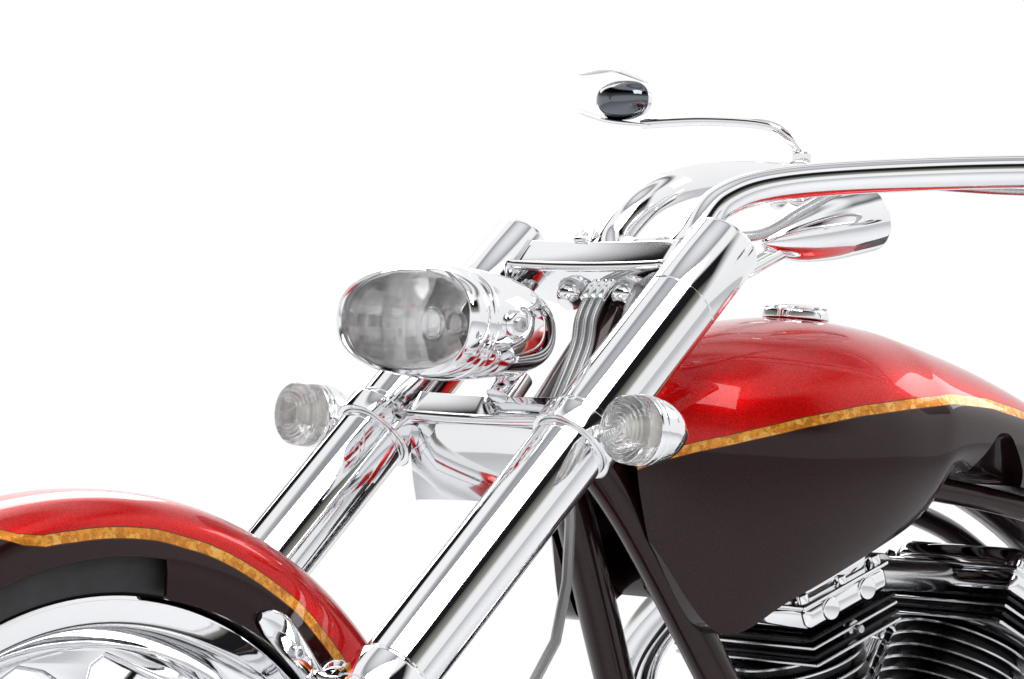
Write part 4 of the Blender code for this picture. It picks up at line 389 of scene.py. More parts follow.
CHROME = metal("mirror_chrome", (0.93, 0.935, 0.95), 0.025, 0.075, 0.012)
SATIN = metal("satin_alloy", (0.74, 0.75, 0.77), 0.16, 0.30, 0.10)
DARK_CHROME = metal("dark_chrome", (0.16, 0.17, 0.19), 0.05, 0.12, 0.02)
STEEL = brushed("ground_steel", (0.56, 0.57, 0.59), 0.22, 0.38)
ENGINE_BLACK = metal("wrinkle_black", (0.030, 0.030, 0.033), 0.22, 0.42, 0.8, 2.2)
REFLECTOR = metal("lamp_reflector", (0.96, 0.96, 0.96), 0.16, 0.30, 0.02)
MAROON = maroon_paint("maroon")
BANDED = banded_paint("red_gold_maroon")
TYRE_RUBBER = rubber("tyre_rubber", (0.012, 0.012, 0.013), 0.62, 900)
GRIP_RUBBER = rubber("grip_rubber", (0.010, 0.010, 0.011), 0.55, 1400)
LEATHER = leather("seat_leather")
CLEAR = glass("clear_glass", (0.98, 0.99, 1.0), 0.0, 0.03, solid=0.40)
RINGED = glass("ringed_glass", (0.99, 0.99, 0.99), 0.0, 0.03, solid=0.78)
RED_GLASS = glass("red_lens", (0.70, 0.010, 0.008), 0.03, 0.06, 300, 0.75)
BRAID = braided("braided_sleeve")
BULB = glass("bulb_glass", (0.95, 0.93, 0.86), 0.05, 0.05, 200, 0.5)
DARK = rubber("dark_plastic", (0.008, 0.008, 0.009), 0.40, 700)
DIAL = rubber("dial_face", (0.36, 0.36, 0.35), 0.40, 500)


# Shape makers, on the upright bike

def shares(steps):
    """Even steps from 0 to 1."""
    return [i / steps for i in range(steps + 1)]


def turns(count):
    """Angles spread evenly round."""
    return [2 * pi * i / count for i in range(count)]


def at_neck(side, forward, up):
    """A place by the steering axis: ahead of it and up along it."""
    return NECK + Vector((side, 0, 0)) + STEM_FORWARD * forward + STEM_UP * up


def at_leg(side, ahead, height):
    """A place by the fork legs: ahead of them and up along them from the axle."""
    return FRONT_AXLE + Vector((side, 0, 0)) + FORK_FORWARD * ahead + FORK_UP * height


def round_spot(centre, side, radius, turn):
    """A spot on a circle square across the bike."""
    return centre + Vector((side, radius * cos(turn), radius * sin(turn)))


def along(start, end, share):
    return start + (end - start) * share


def facing(*axes):
    """A turn that lays x, y and z on the given axes."""
    return Matrix(axes).transposed().to_4x4()


def side_plane(side):
    """Places (back, up) pairs square across the bike."""
    return Matrix(((0, 0, 1, side), (1, 0, 0, 0), (0, 1, 0, 0), (0, 0, 0, 1)))


def moved(work, matrix):
    bmesh.ops.transform(work, matrix=matrix, verts=work.verts)
    return work


def lathe(profile, point, direction, steps=48, closed=False):
    """A skin of (radius, height) pairs turned about an axis."""
    work = bmesh.new()
    rows = [[work.verts.new((radius * cos(turn), radius * sin(turn), height))
             for turn in (turns(steps) if radius > 1e-7 else (0,))] for radius, height in profile]
    for here, after in list(zip(rows, rows[1:])) + ([(rows[-1], rows[0])] if closed else []):
        for i in range(steps):
            j = (i + 1) % steps
            corners = [here[i % len(here)], here[j % len(here)], after[j % len(after)],
                       after[i % len(after)]]
            corners = [v for k, v in enumerate(corners) if v not in corners[:k]]
            if len(corners) > 2:
                work.faces.new(corners)
    bmesh.ops.recalc_face_normals(work, faces=work.faces)
    aim = direction.to_track_quat("Z", "Y").to_matrix().to_4x4()
    return moved(work, Matrix.Translation(point) @ aim)


def arc(before, here, after, radius, steps):
    """A small curve in place of a corner."""
    a, b = before - here, after - here
    reach = min(radius, a.length * 0.45, b.length * 0.45)
    start, end = here + a.normalized() * reach, here + b.normalized() * reach
    return [tuple((1 - t) ** 2 * start + 2 * t * (1 - t) * here + t ** 2 * end)
            for t in shares(steps)]


def rounded(profile, radius, steps=4):
    """The profile with each inner corner turned into a small arc."""
    points = [Vector(p) for p in profile]
    curves = [arc(*corner, radius, steps) for corner in zip(points, points[1:], points[2:])]
    return [tuple(points[0])] + sum(curves, []) + [tuple(points[-1])]


def rounded_loop(outline, radius, steps=6):
    """A closed flat outline with its corners turned into arcs."""
    points = [Vector(p) for p in outline]
    corners = zip(points[-1:] + points, points, points[1:] + points[:1])
    return sum((arc(*corner, radius, steps) for corner in corners), [])


def smooth_route(points, pieces):
    """Points on a smooth curve through the given ones."""
    last = len(points) - 1
    route = []
    for i in range(last):
        before, start = points[max(i - 1, 0)], points[i]
        end, after = points[i + 1], points[min(i + 2, last)]
        for t in shares(pieces)[:-1]:
            route.append(0.5 * (2 * start + (end - before) * t
                                + (2 * before - 5 * start + 4 * end - after) * t ** 2
                                + (3 * start - before - 3 * end + after) * t ** 3))
    return route + [points[last]]


def curved(rows, pieces):
    """Rows of numbers with smooth ones put between them."""
    return [tuple(row) for row in smooth_route([Vector(row) for row in rows], pieces)]


def circle(radius, steps, centre=(0, 0), rise=None):
    """Points round a circle, or round an oval where another rise is given."""
    rise = radius if rise is None else rise
    return [(centre[0] + radius * cos(turn), centre[1] + rise * sin(turn))
            for turn in turns(steps)]


def sweep(points, radius, sides=20, shape=None, up=UP, cap=True):
    """A round or shaped bar along a route, with coordinates round and along it."""
    points = [Vector(p) for p in points]
    radii = radius if isinstance(radius, list) else [radius] * len(points)
    shape = shape or circle(1, sides)
    sides = len(shape)
    work = bmesh.new()
    uv = work.loops.layers.uv.new("UVMap")
    heading = (points[1] - points[0]).normalized()
    side = heading.cross(up)
    side = (side if side.length > 0.05 else heading.cross(ACROSS)).normalized()
    rows, travelled, runs = [], 0.0, []
    for k, (point, size) in enumerate(zip(points, radii)):
        ahead = points[min(k + 1, len(points) - 1)] - points[max(k - 1, 0)]
        ahead.normalize()
        side = (side - ahead * side.dot(ahead)).normalized()
        top = side.cross(ahead)
        rows.append([work.verts.new(point + (side * a + top * b) * size) for a, b in shape])
        travelled += (point - points[max(k - 1, 0)]).length
        runs.append(travelled)
    for k in range(len(rows) - 1):
        for i in range(sides):
            j = (i + 1) % sides
            face = work.faces.new((rows[k][i], rows[k][j], rows[k + 1][j], rows[k + 1][i]))
            for loop, (a, b) in zip(face.loops, ((i, k), (i + 1, k), (i + 1, k + 1), (i, k + 1))):
                loop[uv].uv = (a / sides, runs[b])
    if cap:
        work.faces.new(reversed(rows[0]))
        work.faces.new(rows[-1])
    bmesh.ops.recalc_face_normals(work, faces=work.faces)
    return work


def rod(start, end, radius, end_radius=None, edge=0.001, steps=32):
    end_radius = radius if end_radius is None else end_radius
    length = (end - start).length
    profile = rounded([(0, length), (end_radius, length), (radius, 0), (0, 0)], edge, 3)
    return lathe(profile, start, end - start, steps)


def loft(rings, closed=True, ends=True, loop=False):
    """A skin over rings or open rows of as many points each, if asked in a loop."""
    work = bmesh.new()
    rows = [[work.verts.new(point) for point in ring] for ring in rings]
    count = len(rows[0])
    for here, after in zip(rows, rows[1:] + (rows[:1] if loop else [])):
        for i in range(count if closed else count - 1):
            j = (i + 1) % count
            work.faces.new((here[i], here[j], after[j], after[i]))
    if ends:
        work.faces.new(reversed(rows[0]))
        work.faces.new(rows[-1])
    bmesh.ops.recalc_face_normals(work, faces=work.faces)
    return work


def bevelled(work, width, segments=3, angle=30):
    edges = [e for e in work.edges if len(e.link_faces) == 2
             and degrees(e.calc_face_angle()) > angle]
    bmesh.ops.bevel(work, geom=edges, offset=width, offset_type="OFFSET", segments=segments,
                    profile=0.5, affect="EDGES", clamp_overlap=True)
    return work


def box(centre, size, turn=Matrix.Identity(4), edge=0.002):
    work = bmesh.new()
    bmesh.ops.create_cube(work, size=1, matrix=Matrix.Diagonal((*size, 1)))
    return moved(bevelled(work, edge), Matrix.Translation(centre) @ turn)


def slab(outline, thickness, placement, edge=0.002, segments=3):
    """A flat outline made thick, with rounded rims."""
    work = loft([[(a, b, level) for a, b in outline] for level in (-thickness / 2, thickness / 2)])
    return moved(bevelled(work, edge, segments, 50), placement)


def holed_slab(outlines, thickness, placement, edge=0.0, steps=3):
    """Flat outlines, the first outside and the rest holes, with rounded rims."""
    curve = bpy.data.curves.new("outline", "CURVE")
    curve.dimensions = "2D"
    curve.fill_mode = "BOTH"
    curve.extrude = thickness / 2 - edge
    curve.bevel_depth = edge
    curve.bevel_resolution = steps
    curve.offset = -edge
    for outline in outlines:
        spline = curve.splines.new("POLY")
        spline.points.add(len(outline) - 1)
        for target, (a, b) in zip(spline.points, outline):
            target.co = (a, b, 0, 1)
        spline.use_cyclic_u = True
    return moved(taken_from(put("outline", curve)), placement)


def taken_from(item, *others):
    """An object's final mesh to work on. The object goes, and so do the others."""
    bpy.context.view_layer.update()
    graph = bpy.context.evaluated_depsgraph_get()
    mesh = bpy.data.meshes.new_from_object(item.evaluated_get(graph))
    work = bmesh.new()
    work.from_mesh(mesh)
    bmesh.ops.remove_doubles(work, verts=work.verts, dist=1e-6)
    bpy.data.meshes.remove(mesh)
    for old in (item, *others):
        bpy.data.objects.remove(old, do_unlink=True)
    return work


def cut_with(work, cutters):
    """Takes closed shapes out of another by an exact difference."""
    base, *items = [put("draft", meshed(shape)) for shape in (work, *cutters)]
    for item in items:
        cut = base.modifiers.new("cut", "BOOLEAN")
        cut.operation, cut.solver, cut.object = "DIFFERENCE", "EXACT", item
    return taken_from(base, *items)


def oval(centre, half_width, half_height, power, steps):
    """A rounded upright ring across the bike."""
    ring = []
    for i in range(steps):
        turn = 2 * pi * (i + 0.5) / steps
        a, b = cos(turn), sin(turn)
        side = half_width * abs(a) ** (2 / power) * (1 if a > 0 else -1)
        rise = half_height * abs(b) ** (2 / power) * (1 if b > 0 else -1)
        ring.append(centre + Vector((side, 0, rise)))
    return ring


def plug(radius, height):
    """A low cylinder's profile."""
    return [(0, height), (radius, height), (radius, 0), (0, 0)]


def collar(inner, outer, top, foot):
    """A band's profile, open towards what it sits on."""
    return [(inner, top), (outer, top), (outer, foot), (inner, foot)]


class Piece:
    """Gathers shapes and their materials into one mesh, then leans it and hangs it on its body."""

    def __init__(self):
        self.work = bmesh.new()
        self.materials = []

    def add(self, shape, material, angle=38, mirror=False):
        """Adds a shape, with sharp edges where its faces meet at more than the angle."""
        if mirror:
            bmesh.ops.scale(shape, vec=(-1, 1, 1), verts=shape.verts)
            bmesh.ops.reverse_faces(shape, faces=shape.faces)
        if material not in self.materials:
            self.materials.append(material)
        for face in shape.faces:
            face.material_index = self.materials.index(material)
            face.smooth = True
        for edge in shape.edges:
            if len(edge.link_faces) == 2:
                edge.smooth = edge.calc_face_angle() < radians(angle)
        mesh = meshed(shape)
        self.work.from_mesh(mesh)
        bpy.data.meshes.remove(mesh)

    def turned(self, profile, point, axis, material, steps=32, edge=0.0, angle=38):
        """Adds a lathed shape, with its corners rounded by the edge."""
        profile = rounded(profile, edge) if edge else profile
        self.add(lathe(profile, point, axis, steps), material, angle)

    def done(self, name, body, *nodes, slot=None):
        mesh = meshed(self.work, name)
        mesh.transform(STANCE)
        item = put(name, mesh)
        for material in self.materials:
            mesh.materials.append(material)
        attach(item, body)
        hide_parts(*nodes)
        return item


def hex_bolt(piece, point, direction, radius, height, material=STEEL):
    """A cap screw's head with its socket."""
    piece.turned([(0, height * 0.45), (radius * 0.48, height * 0.45), (radius * 0.52, height),
                  (radius * 0.92, height), (radius, height * 0.88), (radius, 0), (0, 0)],
                 point, direction.normalized(), material, 24)


# Fork

def make_fork_leg(name, hand):
    side = hand * FORK_SPREAD / 2
    top, slider = FORK_LENGTH + 0.024, FORK_LENGTH - 0.465
    profile = [(0, top + 0.0008), (SLEEVE * 0.35, top + 0.0008), (SLEEVE * 0.42, top),
               (SLEEVE * 0.84, top), (SLEEVE * 0.94, top - 0.0014), (SLEEVE, top - 0.0052)]
    for height in (FORK_LENGTH - 0.050, SIGNAL_HEIGHT + 0.016, SIGNAL_HEIGHT - 0.016):
        profile += [(SLEEVE - deep, height + up) for deep, up in (
            (0, 0.0012), (0.0010, 0.0006), (0.0010, -0.0006), (0, -0.0012))]
    profile += [(SLEEVE, slider + 0.004), (SLEEVE - 0.0012, slider + 0.003),
                (SLEEVE - 0.0012, slider), (SLIDER - 0.001, slider), (SLIDER, slider - 0.002),
                (SLIDER, slider - 0.030), (SLIDER - 0.0012, slider - 0.031),
                (SLIDER - 0.0012, slider - 0.033), (SLIDER, slider - 0.034),
                (SLIDER, -0.026), (SLIDER - 0.004, -0.034), (SLIDER - 0.008, -0.036), (0, -0.036)]
    piece = Piece()
    piece.turned(profile, at_leg(side, 0, 0), FORK_UP, CHROME, 96, angle=30)
    piece.turned([(0, 0.0015), (0.0068, 0.0015), (0.0080, 0.0)], at_leg(side, 0, top + 0.0008),
                 FORK_UP, DARK_CHROME)
    for height in (-0.012, 0.012):
        hex_bolt(piece, at_leg(side, -SLIDER + 0.002, height), -FORK_FORWARD, 0.005, 0.005)
    piece.add(rod(Vector((side - hand * (SLIDER + 0.004), 0, FRONT_RADIUS)),
                  Vector((side + hand * (SLIDER + 0.0008), 0, FRONT_RADIUS)), 0.023), CHROME)
    piece.done(name, "fork", name, slot="chrome")


def leg_ahead(level):
    """How far ahead of the steering axis the fork legs are at a level."""
    return SEAM_AHEAD + (SEAM_LEVEL - level) * tan(FORK_ANGLE - NECK_RAKE)


def clamp_line(level, reach, rear, inset=0.0):
    """A fork clamp's outline seen along the steering axis, as (side, back) pairs."""
    half, ahead = FORK_SPREAD / 2, leg_ahead(level)
    right = [(half * share, inset - reach - 0.005 * share ** 2)
             for share in (0, 0.15, 0.3, 0.45, 0.6, 0.7, 0.78)]
    right += [(half * 0.86, inset - ahead - 0.012), (half * 0.96, -ahead),
              (half * 0.9, -(ahead - 0.019)), (half * 0.62, -(ahead - 0.024)),
              (0.045, -(0.012 - rear * 0.2)), (0.029, rear * 0.55), (0.015, rear)]
    return right + [(-side, back) for side, back in reversed(right) if side]


def make_clamp(level, reach, thick, nuts):
    """A clamp with a flat front band over a rounded lower lip, and screws from below."""
    piece = Piece()
    drop = (thick - CLAMP_THICK) / 2
    under, rear = level - drop - thick / 2, 0.026
    place = Matrix.Translation(at_neck(0, 0, level - drop)) @ facing(ACROSS, -STEM_FORWARD, STEM_UP)
    piece.add(slab(clamp_line(level, reach, rear, 0.0022), thick, place, 0.0016), CHROME, 50)
    lip = [at_neck(side, -back, under + 0.0032)
           for side, back in clamp_line(level, reach - 0.0012, rear)[:8]]
    lip = [Vector((-p.x, p.y, p.z)) for p in lip[:0:-1]] + lip
    piece.add(sweep(smooth_route(lip, 4), 0.0042, 16), CHROME)
    for side in (-0.087, 0.087):
        for back in nuts:
            hex_bolt(piece, at_neck(side, leg_ahead(level) + back, under), -STEM_UP, 0.0055, 0.005)
    return piece


def make_upper_clamp():
    """The clamp with two nuts under it, the neck's cap, a small bracket and the neck's hoses."""
    level, thick = UPPER_CLAMP, 0.0335
    piece = make_clamp(level, 0.0635, thick, (-0.006,))
    for side in (-0.0335, 0.0335):
        spot = at_neck(side, 0.036, level + CLAMP_THICK / 2 - thick)
        piece.turned([(0, 0.016), (0.008, 0.016), (0.0125, 0.010), (0.0125, 0.0), (0, 0)],
                     spot, -STEM_UP, CHROME, 40, 0.003)
        piece.turned([(0.0145, 0.0), (0.0145, 0.003), (0.012, 0.0036), (0, 0.0036)], spot,
                     -STEM_UP, STEEL, 40)
    piece.turned([(0, 0.012), (0.013, 0.012), (0.019, 0.004), (0.021, 0), (0, 0)],
                 at_neck(0, 0, level + 0.0112), STEM_UP, CHROME, 40, 0.002)
    turn = facing(ACROSS, STEM_FORWARD, STEM_UP)
    for side, up, size in ((-0.0365, 0.0175, (0.0032, 0.011, 0.015)),
                           (-0.0235, 0.0175, (0.0032, 0.011, 0.015)),
                           (-0.030, 0.0125, (0.016, 0.012, 0.004))):
        piece.add(box(at_neck(side, 0.058, level + up), size, turn, 0.001), CHROME)
    for side in (-0.012, -0.003, 0.006):
        run = [at_neck(side, 0.037, 0.104), at_neck(side + 0.004, 0.035, 0.075),
               at_neck(side + 0.026, 0.037, 0.035), at_neck(side + 0.046, 0.037, -0.0405)]
        piece.add(sweep(smooth_route(run, 10), 0.0036, 16), BRAID)
        for end, heading in ((run[0], -STEM_UP), (run[-1], STEM_UP)):
            piece.add(rod(end - heading * 0.002, end + heading * 0.011, 0.0052), CHROME)
    piece.done("upper_clamp", "fork", "upper_clamp", slot="chrome")


def make_lower_clamp():
    """The clamp with the neck's stem and a curved apron under its front."""
    level, thick = LOWER_CLAMP, 0.0300
    piece = make_clamp(level, 0.0690, thick, (-0.008, 0.016))
    piece.add(rod(at_neck(0, 0, level), at_neck(0, 0, 0.103), 0.0124), STEEL)
    half = FORK_SPREAD / 2 - SLEEVE - 0.0056
    rows = []
    for share in shares(14):
        forward = 0.0600 - 0.044 * share + 0.005 * sin(pi * share)
        rows.append([at_neck(half * wide, forward + 0.004 * (1 - wide * wide)
                             - (0.0016 if abs(wide) == 1 else 0),
                             level + CLAMP_THICK / 2 - thick - 0.043 * share)
                     for wide in (-1, -0.98, -0.6, -0.2, 0.2, 0.6, 0.98, 1)])
    apron = loft(rows, closed=False, ends=False)
    bmesh.ops.solidify(apron, geom=apron.faces[:], thickness=0.0028)
    piece.add(apron, CHROME, 60)
    out = (STEM_FORWARD - STEM_UP).normalized()
    for i in (6, 9):
        line = [along(rows[i][k], rows[i + 1][k], 0.5) + out * 0.0002 for k in range(1, 7)]
        piece.add(sweep(line, 0.0006, 8), DARK_CHROME)
    piece.turned([(0, 0.0012), (0.0046, 0.0012), (0.0060, 0.0022), (0.0070, 0.0012), (0.0070, 0)],
                 along(rows[3][3], rows[4][4], 0.5) - out * 0.0006, out, DARK)
    piece.done("lower_clamp", "fork", "lower_clamp", slot="chrome")


make_fork_leg("left_fork_leg", 1)
make_fork_leg("right_fork_leg", -1)
make_upper_clamp()
make_lower_clamp()


# Lamps

LAMP_HALF = (0.078, 0.047)
LAMP_LENGTH = 0.150
LAMP_CENTRE = NECK + Vector((0, -0.1775, 0.066))
LAMP_SHARES = (
    # back from the face, half width, half height, drop
    (0.0, 1.0, 0.86, 0.0), (0.07, 1.06, 0.95, 0.0), (0.3, 1.05, 0.98, 0.0),
    (0.55, 0.90, 0.89, 0.0), (0.78, 0.62, 0.70, 0.06), (0.93, 0.32, 0.38, 0.10),
    (0.985, 0.16, 0.19, 0.115), (1.0, 0.04, 0.05, 0.12))


def lamp_ring(back, wide, tall, drop=0.0, steps=64, wave=0.0):
    centre = LAMP_CENTRE + Vector((0, back, -drop * LAMP_HALF[1]))
    ring = oval(centre, wide * LAMP_HALF[0], tall * LAMP_HALF[1], 2.3, steps)
    for point in ring:
        turn = atan2(point.z - centre.z, point.x - centre.x)
        point.y -= wave * cos(2 * turn)
    return ring


def make_headlight():
    """An oval shell with a bezel and a brow, and in it the bowl, the socket and the bulb."""
    piece = Piece()
    body = [lamp_ring(row[0] * LAMP_LENGTH, *row[1:]) for row in curved(LAMP_SHARES, 5)]
    piece.add(loft(body[:-1], ends=False), CHROME)
    piece.add(loft(body[-2:]), CHROME)
    bezel = []
    for share in shares(12):
        turn = pi * (share * 1.20 - 0.30)
        bezel.append(lamp_ring(0.014 - 0.011 * sin(turn), 1.045 + 0.050 * cos(turn),
                               0.905 + 0.060 * cos(turn), wave=0.009))
    brow = [lamp_ring(0.030 + 0.005 * cos(pi * share), 1.050 + 0.02 * sin(pi * share),
                      0.965 + 0.035 * sin(pi * share), wave=0.009) for share in shares(6)]
    for rings in (bezel, brow):
        piece.add(loft(rings, ends=False), CHROME, 60)
    bowl = [lamp_ring(0.004 + 0.084 * sin(turn), 0.80 * cos(turn) ** 0.6 + 0.19,
                      0.66 * cos(turn) ** 0.6 + 0.20, steps=36)
            for turn in (pi / 2 * share for share in shares(8))]
    piece.add(loft(bowl, ends=False), REFLECTOR, 4)
    for profile, material, steps, edge in (
            ([(0.026, 0), (0.026, 0.006), (0.023, 0.009), (0.019, 0.004), (0, 0.004)],
             CHROME, 40, 0),
            ([(0.0185, 0.0042), (0.0185, 0.0105), (0.0145, 0.0115), (0.0135, 0.005), (0, 0.005)],
             DARK, 40, 0),
            ([(0, 0.030), (0.009, 0.027), (0.009, 0.004), (0, 0.004)], BULB, 32, 0.005),
            ([(0, 0.034), (0.0102, 0.033), (0.0102, 0.026), (0.0095, 0.026)], CHROME, 32, 0.002)):
        piece.turned(profile, LAMP_CENTRE + Vector((0, 0.082, 0)), AHEAD, material, steps, edge)
    seat = at_neck(0, leg_ahead(-0.0387), -0.0387)
    piece.add(rod(seat, seat + STEM_UP * 0.028, 0.014), CHROME)
    for hand in (-1, 1):
        flank = LAMP_CENTRE + Vector((hand * LAMP_HALF[0] * 1.035, LAMP_LENGTH * 0.27, 0))
        piece.turned([(0, 0.009), (0.010, 0.008), (0.012, 0.004), (0.012, 0)],
                     flank, ACROSS * hand, CHROME, edge=0.002)
        hex_bolt(piece, flank + ACROSS * hand * 0.008, ACROSS * hand, 0.006, 0.004)
    piece.done("headlight_shell", "fork", "headlight_shell", slot="chrome")


def make_lens():
    """A domed glass with an outer and an inner skin, closed at the top and at the rim."""
    skins = []
    for skin in (0.0, 0.0022):
        rings = []
        for share in shares(8):
            turn = pi / 2 * share
            size = (0.985 - skin * 4) * cos(turn) ** 0.75 + 0.012
            rings.append(lamp_ring((0.002 if share else 0.012) - (0.0145 * sin(turn) - skin),
                                   size, size * 0.86))
        skins.append(rings)
    outer, inner = skins[0], skins[1][::-1]
    lens = Piece()
    for rings in (outer, inner, [outer[-1], lamp_ring(-0.0126, 0.001, 0.001)],
                  [inner[0], lamp_ring(-0.0104, 0.001, 0.001)], [outer[0], inner[-1]]):
        lens.add(loft(rings, ends=False), CLEAR)
    lens.done("headlight_lens", "fork", "headlight_lens", slot="clear_lens")


SIGNAL_BODY = (
    # share of the radius, height
    (0.90, 0.0110), (0.97, 0.0120), (1, 0.0105), (1, 0.0060), (0.965, 0.0050), (0.985, 0.0035),
    (0.97, 0.0000), (0.90, -0.0100), (0.78, -0.0180), (0.60, -0.0262), (0.42, -0.0324),
    (0.20, -0.0352), (0, -0.036))


def make_signal(name, hand):
    """A bullet lamp with a ridged lens, on an arm from a band round the fork leg."""
    half, radius = FORK_SPREAD / 2, 0.028
    centre = at_leg(hand * 0.201, 0, SIGNAL_HEIGHT) + Vector((0, 0, 0.0084))
    piece = Piece()

    def sized(rows):
        return [(radius * share, height) for share, height in rows]

    def dome(share):
        return 0.0075 * (1 - (1 - share) ** 2.4)

    piece.add(lathe(rounded(sized(SIGNAL_BODY), 0.003, 3), centre, AHEAD, 64), CHROME)
    piece.turned(sized([(0.90, 0.0110), (0.84, 0.006), (0.62, -0.004), (0.30, -0.010),
                        (0, -0.011)]), centre, AHEAD, REFLECTOR, 20, angle=5)
    piece.turned([(0, 0.014), (0.0075, 0.011), (0.0075, -0.008), (0.004, -0.010)],
                 centre, AHEAD, BULB, 24, 0.004)
    lens = sized([(0.90, 0.0108), (0.985, 0.0125), (0.965, 0.0235)])
    for i, share in enumerate(shares(32)):
        ridge = 0.0009 if i % 4 in (1, 2) else 0
        lens.append((radius * 0.940 * (1 - share), 0.0265 + dome(share) + ridge))
    piece.turned(lens, centre, AHEAD, RINGED, 64, angle=12)
    inside = sized([(0.84, 0.0110), (0.90, 0.0145)])
    inside += [(radius * 0.90 * (1 - share), 0.0235 + dome(share)) for share in shares(8)]
    piece.turned(inside, centre, AHEAD, RINGED, 48)
    piece.add(rod(at_leg(hand * (half + SLEEVE + 0.0025), 0, SIGNAL_HEIGHT), centre, 0.008), CHROME)
    inner, outer = SLEEVE + 0.0003, SLEEVE + 0.005
    piece.turned(collar(inner, outer, 0.010, -0.010) + [(inner, 0.010)],
                 at_leg(hand * half, 0, SIGNAL_HEIGHT), FORK_UP, CHROME, 72, 0.0012)
    hex_bolt(piece, at_leg(hand * half, -outer + 0.001, SIGNAL_HEIGHT), -FORK_FORWARD, 0.0045,
             0.006)
    piece.done(name, "fork", name, slot="chrome")


make_headlight()
make_lens()
make_signal("left_turn_signal", 1)
make_signal("right_turn_signal", -1)


# Handlebar and what it carries

BAR_SHARES = (
    # side, back and up from the middle of the bar's base
    (0.10, 0.0, 0.0), (0.132, 0.02, 0.17), (0.128, 0.075, 0.47), (0.175, 0.175, 0.66),
    (0.35, 0.375, 0.82), (0.56, 0.60, 0.94), (0.74, 0.775, 1.0), (1.0, 1.0, 0.93))
BAR_SIZE = (0.360, 0.600, 0.115)
BAR_BASE = at_neck(0, 0.019, 0.1528)
HOSE_ROUTE = ((0.068, 0.590, 0.9190), (0.062, 0.640, 0.9280), (0.052, 0.697, 0.9525),
              (0.050, 0.755, 0.9767), (0.062, 0.823, 0.9860), (0.125, 0.870, 0.9850))
GRIP_LENGTH = 0.130


def bar_points(hand):
    return [BAR_BASE + Vector((hand * side * BAR_SIZE[0], back * BAR_SIZE[1], up * BAR_SIZE[2]))
            for side, back, up in BAR_SHARES]


def bar_route(hand, pieces=10):
    points = bar_points(hand)
    return smooth_route(points, pieces)[:-pieces] + [points[-1]]


def make_handlebar():
    """The bar on its two risers and their bridge, with the steel line under its left side."""
    piece = Piece()
    piece.add(sweep(bar_route(-1)[::-1] + bar_route(1), BAR_RADIUS, 40), CHROME)
    for hand in (-1, 1):
        piece.turned([(0.0195, 0), (0.0195, 0.004), (0.0165, 0.008), (0.0165, 0.020),
                      (0.0120, 0.026), (0, 0.026)], bar_points(hand)[0] - STEM_UP * BAR_RADIUS,
                     STEM_UP, CHROME, 48, 0.003)
    piece.add(box(BAR_BASE + STEM_UP * 0.006, (0.052, 0.030, 0.026),
                  facing(ACROSS, STEM_FORWARD, STEM_UP), 0.006), CHROME)
    for side in (-0.016, 0.016):
        hex_bolt(piece, BAR_BASE + ACROSS * side + STEM_UP * 0.0185, STEM_UP, 0.0055, 0.006)
    start = at_neck(0.068, 0.032, 0.1378)
    piece.add(rod(start, start + STEM_UP * 0.008, 0.0065), CHROME)
    under = Vector((0, 0.002, -BAR_RADIUS - 0.0040))
    hose = [start, start + STEM_UP * 0.016] + [Vector(row) for row in HOSE_ROUTE]
    hose += [spot + under for spot in bar_route(1)[50:60:4]]
    piece.add(sweep(smooth_route(hose, 8), 0.0045, 16), STEEL)
    piece.done("handlebar", "fork", "handlebar", slot="chrome")


def grip_line(hand):
    """Where a grip starts on the bar, and the way it points."""
    points = bar_points(hand)
    heading = (points[-1] - points[-2]).normalized()
    return points[-1] - heading * GRIP_LENGTH, heading


def make_grip(name, hand):
    start, heading = grip_line(hand)
    profile = [(0.0148, 0), (0.0208, 0.0), (0.0212, 0.003), (0.0196, 0.006)]
    for i in range(22):
        base = 0.009 + i * 0.0052
        profile += [(0.0172, base), (0.0187, base + 0.0008), (0.0187, base + 0.0034),
                    (0.0172, base + 0.0042)]
    profile += [(0.0187, 0.1245), (0.0187, 0.1275), (0.016, 0.1285)]
    piece = Piece()
    piece.turned(profile, start, heading, GRIP_RUBBER, 48, angle=50)
    piece.turned([(0.0165, 0.1278), (0.0183, 0.1290), (0.0160, 0.1345), (0, 0.1350)],
                 start, heading, CHROME, 48, 0.003)
    piece.done(name, "fork", name)


